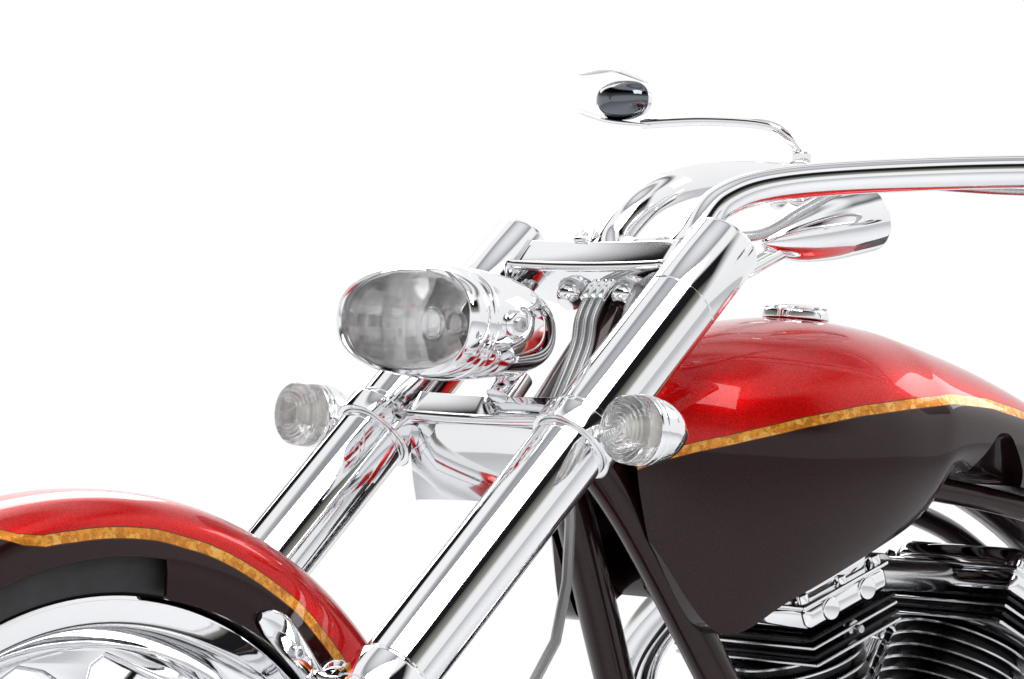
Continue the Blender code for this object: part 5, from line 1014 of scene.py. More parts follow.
def make_lever(name, hand):
    """A band on the bar with a fluid reservoir, a pivot and a swept blade that ends in a ball."""
    start, heading = grip_line(hand)
    ahead = Vector((heading.y, -heading.x, 0)).normalized() * hand
    ahead = ahead if ahead.y < 0 else -ahead
    middle = start - heading * 0.0153
    piece = Piece()
    piece.turned(collar(0.0154, 0.021, 0.015, -0.015), middle, heading, CHROME, 48, 0.0015)
    turn = facing(ahead, heading, ahead.cross(heading))
    reservoir = middle - heading * 0.008 + ahead * 0.037
    piece.add(box(reservoir - UP * 0.003, (0.040, 0.046, 0.019), turn, 0.004), CHROME)
    piece.add(box(reservoir + UP * 0.0085, (0.0415, 0.0475, 0.006), turn, 0.0022), CHROME)
    for side in (-1, 1):
        hex_bolt(piece, reservoir + heading * 0.016 * side + UP * 0.0112, UP, 0.0036, 0.0026)
        hex_bolt(piece, middle - ahead * 0.0185 + heading * 0.008 * side, -ahead, 0.0036, 0.004)
    pivot = middle + ahead * 0.045
    piece.add(rod(pivot - UP * 0.009, pivot + UP * 0.009, 0.008), STEEL)
    tip = pivot + heading * 0.150
    route = smooth_route([pivot, pivot + heading * 0.015 + ahead * 0.0075,
                          pivot + heading * 0.0675 + ahead * 0.001, tip], 12)
    widths = [0.0105 - 0.0040 * sin(pi * min(1, k / len(route) * 1.2)) for k in range(len(route))]
    piece.add(sweep(route, widths, shape=circle(1, 20, rise=0.55)), CHROME)
    work = bmesh.new()
    bmesh.ops.create_uvsphere(work, u_segments=24, v_segments=16, radius=0.0092,
                              matrix=Matrix.Translation(tip))
    piece.add(work, CHROME)
    piece.done(name, "fork", name, slot="chrome")
    return middle


def make_mirror(name, hand, perch):
    """A bent stalk, a long lower blade, a domed shell and a thin upper blade over it."""
    def at(side, back, up):
        return perch + Vector((hand * side, back, up))

    def shell(wide, tall, back):
        return oval(centre + BACK * back, wide, tall, 2.4, 48)

    piece = Piece()
    stalk = [at(0, 0, 0.0216), at(0.004, -0.002, 0.032), at(0.010, -0.014, 0.046),
             at(0.030, -0.026, 0.056), at(0.100, -0.038, 0.060), at(0.178, -0.046, 0.058)]
    piece.add(sweep(smooth_route(stalk, 8), 0.0050, 20), CHROME)
    piece.turned(plug(0.009, 0.010), stalk[0] - UP * 0.001, UP, CHROME, edge=0.002)
    for points, wide, thick in (
            ([at(0.165, -0.046, 0.056), at(0.225, -0.048, 0.062), at(0.280, -0.048, 0.076)],
             0.014, 0.0026),
            ([at(0.180, -0.042, 0.100), at(0.225, -0.045, 0.113), at(0.270, -0.048, 0.110)],
             0.012, 0.0020)):
        route = smooth_route(points, 12)
        sizes = [0.25 + 0.75 * sin(pi * (k + 0.5) / len(route)) for k in range(len(route))]
        piece.add(sweep(route, sizes, shape=circle(wide, 24, rise=thick)), CHROME)
    centre = at(0.205, -0.048, 0.082)
    dome = [shell(0.034 * cos(turn) + 0.001, 0.019 * cos(turn) + 0.001, -0.020 * sin(turn))
            for turn in (pi / 2 * share for share in shares(9))]
    piece.add(loft(dome, ends=False), DARK_CHROME)
    rim = [shell(0.034 - 0.001 * i, 0.019 - 0.001 * i, 0.004 * i) for i in range(3)]
    piece.add(loft(rim, ends=False), CHROME)
    piece.add(loft([rim[-1], shell(0.0005, 0.0005, 0.0074)], ends=False), CHROME)
    piece.done(name, "fork", name, slot="chrome")


def make_gauge():
    """A bullet pod with a dial under glass, on an arm from the upper clamp."""
    centre = Vector((0, NECK.y + 0.292, NECK.z + 0.176))
    tilt = radians(14)
    back = Vector((0, cos(tilt), sin(tilt)))
    half, radius = 0.0675, 0.029
    rows = [(0.86, half - 0.004), (0.90, half), (0.985, half), (1, half * 0.93), (1, half * 0.62),
            (0.97, half * 0.2), (0.80, -half * 0.35), (0.46, -half * 0.78), (0.16, -half * 0.965),
            (0, -half)]
    piece = Piece()
    piece.turned(curved([(radius * share, height) for share, height in rows], 4),
                 centre, back, CHROME, 64)
    piece.turned([(radius * 0.88, half - 0.005), (0, half - 0.005)], centre, back, DIAL, 48)
    piece.turned([(radius * 0.90, half - 0.001), (radius * 0.5, half + 0.0006), (0, half + 0.001)],
                 centre, back, CLEAR, 48)
    up = ACROSS.cross(back) * -1
    hub = centre + back * (half - 0.0046)
    for i in range(9):
        turn = radians(-120 + 30 * i)
        out = ACROSS * sin(turn) + up * cos(turn)
        spot = hub + out * radius * 0.68
        piece.add(rod(spot, spot + out * 0.003, 0.0005, edge=0.0001, steps=8), CHROME)
    tip = hub + (ACROSS * -0.5 - up * 0.6).normalized() * 0.016
    piece.add(rod(hub, tip, 0.0009, 0.0004, 0.0001, 8), RED_GLASS)
    foot = at_neck(0, -0.013, 0.1383)
    arm = smooth_route([foot + STEM_UP * BAR_RADIUS,
                        along(foot, centre, 0.45) - STEM_UP * radius / 2,
                        centre - back * half * 0.8 - UP * (radius * 0.4), centre], 8)
    piece.add(sweep([foot] + arm, 0.008, 24), CHROME)
    piece.turned(plug(0.013, 0.006), foot, STEM_UP, CHROME, edge=0.002)
    piece.done("gauge_pod", "fork", "gauge_pod", slot="chrome")


make_handlebar()
make_gauge()
for SIDE, HAND in (("left", 1), ("right", -1)):
    make_grip(f"{SIDE}_grip", HAND)
    PERCH = make_lever("clutch_lever" if HAND > 0 else "brake_lever", HAND)
    make_mirror(f"{SIDE}_mirror", HAND, PERCH)


# Fenders, wheels and tyres

FENDER_SECTION = (
    # half width, height above the skirt's edge
    (1.0, 0.0), (1.0, 0.22), (1.0, 0.45), (0.93, 0.72), (0.70, 0.90), (0.36, 0.985), (0.0, 1.0))
FENDER_STRIPE = (
    # degrees above the rear, radius
    (14, 0.2880), (47, 0.2993), (53.7, 0.3022), (59.6, 0.3061), (64.7, 0.3071), (69.5, 0.3089),
    (74, 0.311), (78.3, 0.3127), (82.5, 0.3135), (86.8, 0.3157), (90.7, 0.3163), (96.4, 0.3172),
    (100.9, 0.3177), (105.7, 0.3197), (108.9, 0.3256), (111.4, 0.335), (128, 0.352))
LEAF_ROWS = (
    # back along the fender, up, half height
    (0, 0.044, 0.0035), (0.010, 0.040, 0.010), (0.026, 0.030, 0.013), (0.045, 0.012, 0.012),
    (0.060, -0.004, 0.011), (0.080, -0.018, 0.007), (0.094, -0.020, 0.002))


def on_line(rows, at):
    """The second number of a row of pairs at a place between their first numbers."""
    for (low, start), (high, end) in zip(rows, rows[1:]):
        if at <= high or high == rows[-1][0]:
            return start + (end - start) * (at - low) / (high - low)


def from_axle(point, centre):
    """The point's distance from an axle, in the side view."""
    return hypot(point.y - centre.y, point.z - centre.z)


def fender_band(point):
    turn = degrees(atan2(point.z - FRONT_AXLE.z, point.y - FRONT_AXLE.y))
    return from_axle(point, FRONT_AXLE) - on_line(FENDER_STRIPE, turn)


def banded(piece, band):
    """Stores how far each point of the piece lies above its stripe."""
    layer = piece.work.verts.layers.float.new("band")
    for vert in piece.work.verts:
        vert[layer] = band(vert.co)


def fender_shell(centre, radius, half, first, last, skirt, steps, thick=0.004):
    """A curved shell with a rolled edge; the skirt's depth is a function of the way round."""
    section = curved(FENDER_SECTION, 5)
    rings = []
    for share in shares(steps):
        angle = first + (last - first) * share
        deep, edge = skirt(0), radius - skirt(share)
        ring = []
        for wall in (0, thick):
            side = [(wide * (half - wall),
                     max(edge + 0.0002 * k, radius - deep * (1 - rise) - wall * rise))
                    for k, (wide, rise) in enumerate(section)]
            side += [(-wide, high) for wide, high in side[-2::-1]]
            ring += side[::-1] if wall else side
        rings.append([round_spot(centre, wide, high, angle) for wide, high in ring])
    return loft(rings)


def ramped(share, edge, width):
    """From 0 to 1 across an edge, smoothly."""
    t = min(1, max(0, (share - edge) / width + 0.5))
    return t * t * (3 - 2 * t)


def make_front_fender():
    """The painted shell, and on each side a boss on the fork leg and a leaf-shaped bracket."""
    half = 0.060
    piece = Piece()
    piece.add(fender_shell(FRONT_AXLE, 0.3465, half, radians(14), radians(128),
                           lambda share: 0.0775 - 0.0295 * ramped(share, 0.62, 0.008), 240),
              BANDED, 50)
    banded(piece, fender_band)
    for hand in (-1, 1):
        seat = at_leg(hand * (FORK_SPREAD / 2 - SLIDER - 0.0003), 0, 0.285)
        inner = Vector((hand * (half - 0.001), seat.y, seat.z))
        piece.add(rod(seat, inner, 0.012), CHROME)
        piece.add(rod(inner, inner + ACROSS * hand * 0.004, 0.017), CHROME)
        start = seat + Vector((0, -0.080, 0.004)) - ACROSS * seat.x
        leaf = []
        for run, rise, wide in curved(LEAF_ROWS, 4):
            spot = start + Vector((0, run, rise))
            leaf.append([Vector((hand * (half + 0.0032) + hand * 0.0026 * cos(turn),
                                 spot.y + wide * 0.35 * sin(turn), spot.z + wide * sin(turn)))
                         for turn in turns(16)])
        piece.add(loft(leaf), CHROME, 60)
        for run, rise in ((0.036, 0.018), (0.066, -0.008)):
            spot = start + Vector((hand * (half + 0.005), run, rise))
            hex_bolt(piece, spot, ACROSS * hand, 0.0058, 0.005)
    piece.done("front_fender", "fork", "front_fender", slot="candy_red")


def make_rear_fender():
    piece = Piece()
    piece.add(fender_shell(REAR_AXLE, 0.351, 0.1377, radians(22), radians(152),
                           lambda share: 0.080, 120), BANDED, 50)
    banded(piece, lambda point: from_axle(point, REAR_AXLE) - 0.318)
    piece.done("rear_fender", "chassis", "rear_fender", slot="candy_red")


def tyre_outline(radius, width, flange, rim_width):
    """A tyre's section as (height, side) pairs, from bead to bead."""
    depth = radius - flange
    bead = rim_width / 2 - 0.006 - 0.0003
    side = [(flange - 0.010 + 0.0003, bead), (flange - 0.001, bead + 0.0002),
            (flange + 0.003, bead + 0.004)]
    side += [(flange + tall * depth, wide * width / 2) for tall, wide in (
        (0.05, 0.93), (0.22, 0.985), (0.42, 1.0), (0.58, 0.955), (0.72, 0.80),
        (0.83, 0.61), (0.91, 0.45), (0.955, 0.30), (0.982, 0.16), (0.994, 0.07))]
    return side + [(radius, 0)] + [(height, -offset) for height, offset in side[::-1]]


def tread(turn, across, width, pitches):
    """How deep the tread is cut: two round grooves and slanting sipes between them."""
    share = across / (width / 2)
    cut = max(0.0, *(1 - (abs(share - line) / 0.05) ** 2 for line in (-0.22, 0.22)))
    slant = turn / (2 * pi) * pitches + abs(share) * 0.9
    if 0.30 < abs(share) < 0.86:
        cut = max(cut, 1 - (abs((slant % 1) - 0.5) / 0.10) ** 2)
    return max(0.0, min(1.0, cut * 1.6))


def make_tyre(name, body, centre, sizes, pitches):
    """A cut tread and a raised ring on each wall."""
    radius, width, flange, _ = sizes
    outline = curved(tyre_outline(*sizes), 4)
    rows = []
    for turn in turns(pitches * 14):
        row = []
        for height, offset in outline:
            share = (height - flange) / (radius - flange)
            deep = 0.0032 * ramped(share, 0.62, 0.12) * tread(turn, offset, width, pitches)
            ring = 0.0007 if 0.30 < share < 0.36 else 0.0
            row.append(round_spot(centre, offset + (ring if offset > 0 else -ring),
                                  height - deep + ring * 0.4, turn))
        rows.append(row)
    piece = Piece()
    piece.add(loft(rows, closed=False, ends=False, loop=True), TYRE_RUBBER, 60)
    piece.done(name, body, name, slot="tyre")


def make_wheel(name, body, centre, flange, rim_width, hub_width, axle, spokes=7):
    """A deep barrel with a polished lip, swept spokes with rounded windows, and a turned hub."""
    half, seat = rim_width / 2, flange - 0.010
    well, inside = seat - 0.022, half - 0.006
    barrel = well - 0.008
    outer_side = [(flange, half), (flange, inside), (seat, inside), (seat - 0.002, inside * 0.84),
                  (well, inside * 0.45)]
    inner_side = [(barrel, -half * 0.60), (barrel + 0.012, -half * 0.80),
                  (flange - 0.020, -half * 0.92), (flange - 0.006, -half)]
    rim = (outer_side + [(r, -h) for r, h in outer_side[::-1]] + [(flange - 0.003, -half - 0.0008)]
           + inner_side[::-1] + [(r, -h) for r, h in inner_side]
           + [(flange - 0.003, half + 0.0008), (flange, half)])
    piece = Piece()
    piece.turned(rim, centre, ACROSS, CHROME, 160, 0.004, 40)
    hub = hub_width / 2
    side = [(axle + 0.0005, hub), (0.0272, hub), (0.0300, hub - 0.004), (0.0320, hub * 0.8),
            (0.034, hub * 0.72), (0.0300, hub * 0.55)]
    piece.turned(side + [(r, -h) for r, h in side[::-1]], centre, ACROSS, CHROME, 72, 0.002)
    outer, inner, pitch = barrel + 0.003, 0.070, 2 * pi / spokes
    windows = []
    for k in range(spokes):
        edges = ([], [])
        for share in shares(18):
            radius = inner + (outer * 0.955 - inner) * share
            width = 0.026 - 0.011 * sin(pi * share)
            turn = pitch * k + radians(20) * share ** 1.2
            pinch = 1 - (abs(share - 0.52) / 0.52) ** 6
            opening = (pitch / 2 - width / 2 / radius) * max(0.02, pinch) ** 0.4
            for edge, at in zip(edges, (turn - opening, turn + opening)):
                edge.append((radius * cos(at), radius * sin(at)))
        windows.append(edges[0] + edges[1][::-1])
    place = Matrix.Translation(centre) @ side_plane(0)
    piece.add(holed_slab([circle(outer, 160)] + windows, 0.018, place, 0.0042, 4), CHROME, 50)
    for side in (-1, 1):
        for k in range(spokes):
            spot = round_spot(centre, side * 0.008, 0.050, pitch * (k + 0.5) + radians(1))
            hex_bolt(piece, spot, ACROSS * side, 0.0065, 0.005)
    piece.done(name, body, name, slot="chrome")


def make_disc(name, body, centre, radius, hub_side):
    """A drilled disc on a short carrier that reaches the hub."""
    holes = [circle(0.0225, 48)]
    for i in range(24):
        for k, share in enumerate((0.68, 0.80, 0.91)):
            turn = 2 * pi * (i + k * 0.33) / 24
            reach = radius * share
            holes.append(circle(0.0038, 12, (reach * cos(turn), reach * sin(turn))))
    holes += [circle(radius * 0.105, 28, spot) for spot in circle(radius * 0.46, 6)]
    piece = Piece()
    piece.add(holed_slab([circle(radius, 128)] + holes, 0.005,
                         Matrix.Translation(centre) @ side_plane(0), 0.0004, 1), STEEL, 40)
    for i in range(6):
        spot = round_spot(centre, 0.0025, 0.0285, 2 * pi * (i + 0.5) / 6)
        hex_bolt(piece, spot, ACROSS, 0.0040, 0.004, CHROME)
    inner = [(0.0222, -0.002), (0.0335, -0.002), (0.0335, hub_side), (0.0222, hub_side)]
    piece.add(lathe(inner, centre, ACROSS, 48, closed=True), STEEL)
    piece.done(name, body, name, slot="steel")


FRONT, REAR = "front_wheel_body", "rear_wheel_body"
FRONT_RIM_WIDTH, REAR_RIM_WIDTH = 0.086, 0.226
make_front_fender()
make_tyre("front_tyre", FRONT, FRONT_AXLE,
          (FRONT_RADIUS, 0.096, FRONT_FLANGE, FRONT_RIM_WIDTH), 56)
make_tyre("rear_tyre", REAR, REAR_AXLE, (REAR_RADIUS, 0.240, REAR_FLANGE, REAR_RIM_WIDTH), 52)
make_wheel("front_wheel", FRONT, FRONT_AXLE, FRONT_FLANGE, FRONT_RIM_WIDTH, 0.110, 0.010)
make_wheel("rear_wheel", REAR, REAR_AXLE, REAR_FLANGE, REAR_RIM_WIDTH, 0.200, 0.0125)


# Tank and seat

TANK_LENGTH, TANK_HEIGHT, TANK_HALF, TANK_FLOOR = 0.640, 0.280, 0.152, 0.581
TANK_SHARES = (
    # back, top, widest level, floor, half width, half width of the floor
    (0.00, 0.690, 0.56, 0.43, 0.30, 0.22), (0.05, 0.836, 0.56, 0.28, 0.49, 0.40),
    (0.13, 0.907, 0.56, 0.03, 0.76, 0.62), (0.223, 0.960, 0.56, 0.14, 0.92, 0.78),
    (0.348, 1.0, 0.58, 0.29, 1.0, 0.86), (0.440, 0.995, 0.60, 0.41, 1.0, 0.88),
    (0.500, 0.975, 0.64, 0.545, 0.97, 0.88), (0.62, 0.915, 0.66, 0.535, 0.88, 0.82),
    (0.74, 0.83, 0.66, 0.490, 0.76, 0.70), (0.86, 0.735, 0.60, 0.450, 0.60, 0.54),
    (0.96, 0.65, 0.53, 0.430, 0.38, 0.33), (1.00, 0.60, 0.51, 0.425, 0.24, 0.20))
TUNNEL_SHARES = (
    # back, half width, shoulder, roof
    (-0.05, 0.68, 0.53, 0.855), (0.05, 0.74, 0.50, 0.855), (0.14, 0.93, 0.36, 0.855),
    (0.22, 0.90, 0.08, 0.852), (0.46, 0.90, 0.05, 0.790), (0.60, 0.60, 0.05, 0.740),
    (0.75, 0.60, 0.05, 0.690), (1.05, 0.60, 0.05, 0.390))
TANK_STRIPE = (
    # back, up
    (0.40, 0.690), (0.505, 0.7213), (0.522, 0.7325), (0.548, 0.7435), (0.585, 0.756),
    (0.628, 0.7685), (0.687, 0.7815), (0.742, 0.790), (0.805, 0.798), (0.863, 0.797),
    (0.932, 0.788), (1.15, 0.745))
ARCH = [
    # back and up, of the opening in the tank's flank
    (0.879 + back * 0.098, 0.733 + up * 0.040) for back, up in (
    (-0.50, -0.60), (0.50, -0.60), (0.46, 0.10), (0.10, 0.98), (-0.10, 0.98), (-0.46, 0.10))]


def tank_ring(row, steps=22, floor_steps=10):
    """The tank's section: a round back over its widest level, and a flat floor."""
    back, *levels, half, floor_half = row
    y = TANK_NOSE + back * TANK_LENGTH
    top, widest, floor = (TANK_FLOOR + share * TANK_HEIGHT for share in levels)
    half, floor_half = half * TANK_HALF, floor_half * TANK_HALF
    right = []
    for share in shares(steps):
        turn = pi / 2 * share
        right.append((half * sin(turn) ** (2 / 2.15),
                      widest + (top - widest) * cos(turn) ** (2 / 2.15)))
    for share in shares(floor_steps)[1:]:
        right.append((floor_half + (half - floor_half) * cos(pi / 2 * share),
                      widest + (floor - widest) * (1 - (1 - share) ** 1.15)))
    left = [(-side, up) for side, up in reversed(right) if side > 1e-5]
    return [Vector((side, y, up)) for side, up in right + left]


def tunnel_ring(row):
    """The backbone's way through the tank: a wide foot and a narrow roof."""
    back, half, shoulder, roof = row
    y, narrow, under = TANK_NOSE + back * TANK_LENGTH, 0.036, TANK_FLOOR - 0.02
    shoulder, roof = TANK_FLOOR + shoulder * TANK_HEIGHT, TANK_FLOOR + roof * TANK_HEIGHT
    half *= 0.080
    return [Vector((side, y, up)) for side, up in (
        (-half, under), (half, under), (half, shoulder), (narrow, shoulder), (narrow, roof),
        (-narrow, roof), (-narrow, shoulder), (-half, shoulder))]


def make_tank():
    """The painted shell, cut for the backbone, the neck and the arch, with an oval ring."""
    slot_end = TANK_NOSE + TANK_LENGTH * 0.125
    slot = box(Vector((0, slot_end - 0.072, 0.721)), (0.080, 0.144, 0.56), edge=0.006)
    arch = slab(rounded_loop(ARCH, 0.012), 0.6, side_plane(0), 0.0001, 1)
    tunnel = loft([tunnel_ring(row) for row in curved(TUNNEL_SHARES, 4)])
    piece = Piece()
    piece.add(cut_with(loft([tank_ring(row) for row in curved(TANK_SHARES, 8)]),
                       [tunnel, slot, arch]), BANDED, 35)
    banded(piece, lambda point: point.z - on_line(TANK_STRIPE, point.y))
    for hand in (-1, 1):
        centre = Vector((hand * 0.100, 0.891, 0.779))
        loop = [centre + Vector((hand * 0.030 * (0.05 - (0.012 * sin(turn) / 0.25)),
                                 0.023 * cos(turn), 0.012 * sin(turn)))
                for turn in (2 * pi * share for share in shares(48))]
        piece.add(sweep(loop, 0.0024, 12, cap=False), CHROME)
    piece.done("fuel_tank", "chassis", "fuel_tank", slot="candy_red")


def make_fuel_cap():
    cap = Piece()
    seat = Vector((0, TANK_NOSE + TANK_LENGTH * 0.394, TANK_FLOOR + TANK_HEIGHT * 0.9975))
    lean = Vector((0, 0.0238, 1))
    cap.turned([(0, 0.0135), (0.016, 0.0130), (0.022, 0.0115), (0.0285, 0.0085), (0.0295, 0.004),
                (0.030, 0.0005), (0, 0.0005)], seat, lean, CHROME, 72, 0.002)
    for a, b in circle(0.0250, 8):
        hex_bolt(cap, seat + Vector((a, b, 0.0098)), lean, 0.0022, 0.0016)
    cap.done("fuel_cap", "chassis", "fuel_cap", slot="chrome")


SEAT_SECTIONS = (
    # back, top, bottom, half width
    (1.147, 0.735, 0.700, 0.055), (1.20, 0.730, 0.662, 0.085), (1.28, 0.708, 0.634, 0.125),
    (1.40, 0.694, 0.6128, 0.150), (1.48, 0.706, 0.620, 0.155), (1.55, 0.734, 0.633, 0.140),
    (1.60, 0.750, 0.650, 0.105))
SEAT_CHANNELS = (1.255, 1.315, 1.375, 1.435, 1.495)


def hump(distance, width):
    """1 at no distance, falling off smoothly within about the width."""
    return 2.718 ** -((distance / width) ** 2)


def seam_level(row):
    """How high the side seam lies in a row of back, top, bottom and half width."""
    return row[2] + (row[1] - row[2]) * 0.42


def seat_ring(row, steps=72):
    """A crowned cushion section that pulls in at its sewn channels and its side seam."""
    back, top, bottom, half = row
    pull = sum(hump(back - line, 0.0045) for line in SEAT_CHANNELS)
    swell = sum(hump(back - line - 0.030, 0.018) for line in SEAT_CHANNELS[:-1])
    middle = seam_level(row)
    ring = []
    for a, b in circle(1, steps):
        side = half * abs(a) ** (2 / 2.7) * (1 if a > 0 else -1)
        if b > 0:
            rise = middle + (top - middle) * b ** (2 / 2.3)
            inner = max(0.0, 1 - (abs(side) / (half * 0.80)) ** 8)
            rise += b * inner * (0.0022 * swell - 0.0050 * pull) - 0.0022 * b * (1 - inner) * pull
        else:
            rise = middle - (middle - bottom) * abs(b) ** (2 / 4.0)
        ring.append(Vector((side * (1 - 0.018 * hump(b, 0.055)), back, rise)))
    return ring


def seat_end(row, reach):
    """Rings that close the cushion roundly at its nose or tail, from the outside in."""
    back, top, bottom, half = row
    middle, rings = seam_level(row), []
    for i in range(1, 9):
        turn = pi / 2 * i / 9
        size = cos(turn) ** 0.8
        rings.append(seat_ring((back + reach * 0.006 * sin(turn) - reach * 0.006,
                                middle + (top - middle) * size,
                                middle - (middle - bottom) * size, half * size)))
    return rings


def make_seat():
    """A padded cushion with piping and stitches at the seam on each side."""
    rows = curved(SEAT_SECTIONS, 24)
    nose, tail = rows[0], rows[-1]
    rows = [row for row in rows if nose[0] + 0.0065 < row[0] < tail[0] - 0.0065]
    piece = Piece()
    piece.add(loft(seat_end(nose, -1)[::-1] + [seat_ring(row) for row in rows]
                   + seat_end(tail, 1)), LEATHER, 80)
    for hand in (-1, 1):
        seam = [Vector((hand * row[3] * 0.990, row[0], seam_level(row))) for row in rows]
        piece.add(sweep(seam, 0.0026, 10), LEATHER)
        for row in rows[:-1]:
            spot = Vector((hand * row[3] * 0.985, row[0], seam_level(row) + 0.0060))
            stitch = BACK * 0.0016
            piece.add(rod(spot - stitch, spot + stitch, 0.0007, edge=0.0002, steps=8), DIAL)
    piece.done("seat", "chassis", "seat", slot="leather")


make_tank()
make_fuel_cap()


# Frame and engine

def under_tank(side, back, up):
    """A place by shares of the tank's length and height."""
    return Vector((side, TANK_NOSE + back * TANK_LENGTH, TANK_FLOOR + up * TANK_HEIGHT))


CRADLE = ((0.125, 0.830, 0.130), (0.125, 1.150, 0.130), (0.110, 1.270, 0.199),
          (0.095, 1.300, 0.360), (0.095, 1.265, 0.520), (0.095, 1.215, 0.610))
DOWNTUBE_SHARES = (
    # side, back and down from the neck to the cradle
    (0.13, 0.0, 0.0), (0.28, 0.14, 0.10), (0.50, 0.36, 0.30), (0.80, 0.68, 0.60),
    (0.97, 0.90, 0.86))
RAIL = [under_tank(*row) for row in ((0.085, 0.5358, 0.4993), (0.092, 0.7077, 0.4554),
                                     (0.097, 0.8952, 0.3679), (0.104, 1.0983, 0.1821))] + [
    REAR_AXLE + Vector(row) for row in ((0.125, -0.520, 0.275), (0.149, -0.320, 0.279),
                                        (0.149, -0.040, 0.287))]


def downtube_points():
    start, end = at_neck(0, -0.018, -0.0165), Vector(CRADLE[0])
    points = [Vector((side * 0.125, start.y + (end.y - start.y) * back,
                      start.z + (end.z - start.z) * down)) for side, back, down in DOWNTUBE_SHARES]
    return points + [Vector(point) for point in CRADLE]


def make_stand_pivot(piece):
    """A bracket and a pin square to the side stand's fold."""
    pivot = Vector((0.159, 0.960, 0.130))
    down, folded = Vector((0.79, -0.30, -0.58)), Vector((0.10, 0.99, 0.10))
    axis = down.normalized().cross(folded.normalized()).normalized()
    seat = pivot - axis * 0.0093
    inward = axis.cross(BACK).normalized()
    inward = inward if inward.x < 0 else -inward
    piece.add(box(seat + inward * 0.005 - axis * 0.004, (0.038, 0.028, 0.008),
                  facing(inward, axis.cross(inward), axis), 0.0025), MAROON)
    piece.add(rod(seat - axis * 0.004, pivot + axis * 0.013, 0.006), STEEL)


def make_frame():
    """The neck, the backbone, two cradle tubes, two rails and what crosses between them."""
    piece = Piece()
    piece.turned([(0.0128, 0.110), (0.028, 0.110), (0.030, 0.108), (0.030, 0.094), (0.0285, 0.091),
                  (0.0285, -0.015), (0.030, -0.018), (0.030, -0.032), (0.028, -0.034),
                  (0.0128, -0.034)], NECK, STEM_UP, MAROON, 64)
    spine = [at_neck(0, -0.015, 0.0495)]
    spine += [under_tank(0, *row) for row in ((0.192, 0.7286), (0.4733, 0.6679), (0.7546, 0.55),
                                              (0.9733, 0.30))]
    spine += [Vector((0, 1.215, 0.560)), Vector((0, 1.265, 0.430)), Vector((0, 1.290, 0.350))]
    piece.add(sweep(smooth_route(spine, 8), 0.028, 32), MAROON)
    for flip in (False, True):
        boss = [Vector((side, 1.300, 0.360)) for side in (0.086, 0.152)]
        face = boss[1] - ACROSS * 0.001, boss[1] + ACROSS * 0.0002
        for shape, material in (
                (sweep(smooth_route(downtube_points(), 10), 0.0175, 28), MAROON),
                (sweep(smooth_route(RAIL, 8), 0.011, 24), MAROON),
                (rod(*boss, 0.022), MAROON), (rod(*face, 0.0135), CHROME)):
            piece.add(shape, material, mirror=flip)
    crosses = [under_tank(0.0855, 0.5389, 0.4964), under_tank(0.105, 1.1170, 0.1571), RAIL[4],
               Vector((0.125, 0.845, 0.130)), Vector((0.125, 1.135, 0.130)),
               Vector((0.095, 1.3003, 0.360))]
    for end in crosses:
        piece.add(sweep([Vector((-end.x, end.y, end.z)), end], 0.013, 24), MAROON)
    hanger = Vector((0, crosses[0].y, crosses[0].z))
    piece.add(rod(hanger, hanger + UP * 0.040, 0.013), MAROON)
    make_stand_pivot(piece)
    piece.done("frame", "chassis", "frame", slot="maroon")


LEAN = radians(22.5)
FINS, FIN_PITCH, FIN_TOP = 11, 0.0120, 0.1330


def cylinder_axis(hand):
    return Vector((0, hand * sin(LEAN), cos(LEAN)))


def make_cylinder(name, hand):
    """A finned barrel whose fins have polished edges."""
    axis = cylinder_axis(hand)
    start = CRANK + axis * 0.1683
    tops = [FIN_TOP - i * FIN_PITCH for i in range(FINS)]
    profile = [(0, 0.1350), (0.0545, 0.1350)]
    for top in tops:
        profile += [(0.0540, top), (0.0625, top - 0.0004), (0.0640, top - 0.0012),
                    (0.0640, top - 0.0026), (0.0625, top - 0.0034), (0.0535, top - 0.0042)]
    piece = Piece()
    piece.turned(profile + [(0.0530, 0), (0, 0)], start, axis, ENGINE_BLACK, 72, angle=30)
    for top in tops:
        piece.turned([(0.0632, top - 0.0005), (0.06425, top - 0.0011), (0.06425, top - 0.0027),
                      (0.0632, top - 0.0033)], start, axis, SATIN, 72)
    piece.done(name, "chassis", name, slot="black_metal")


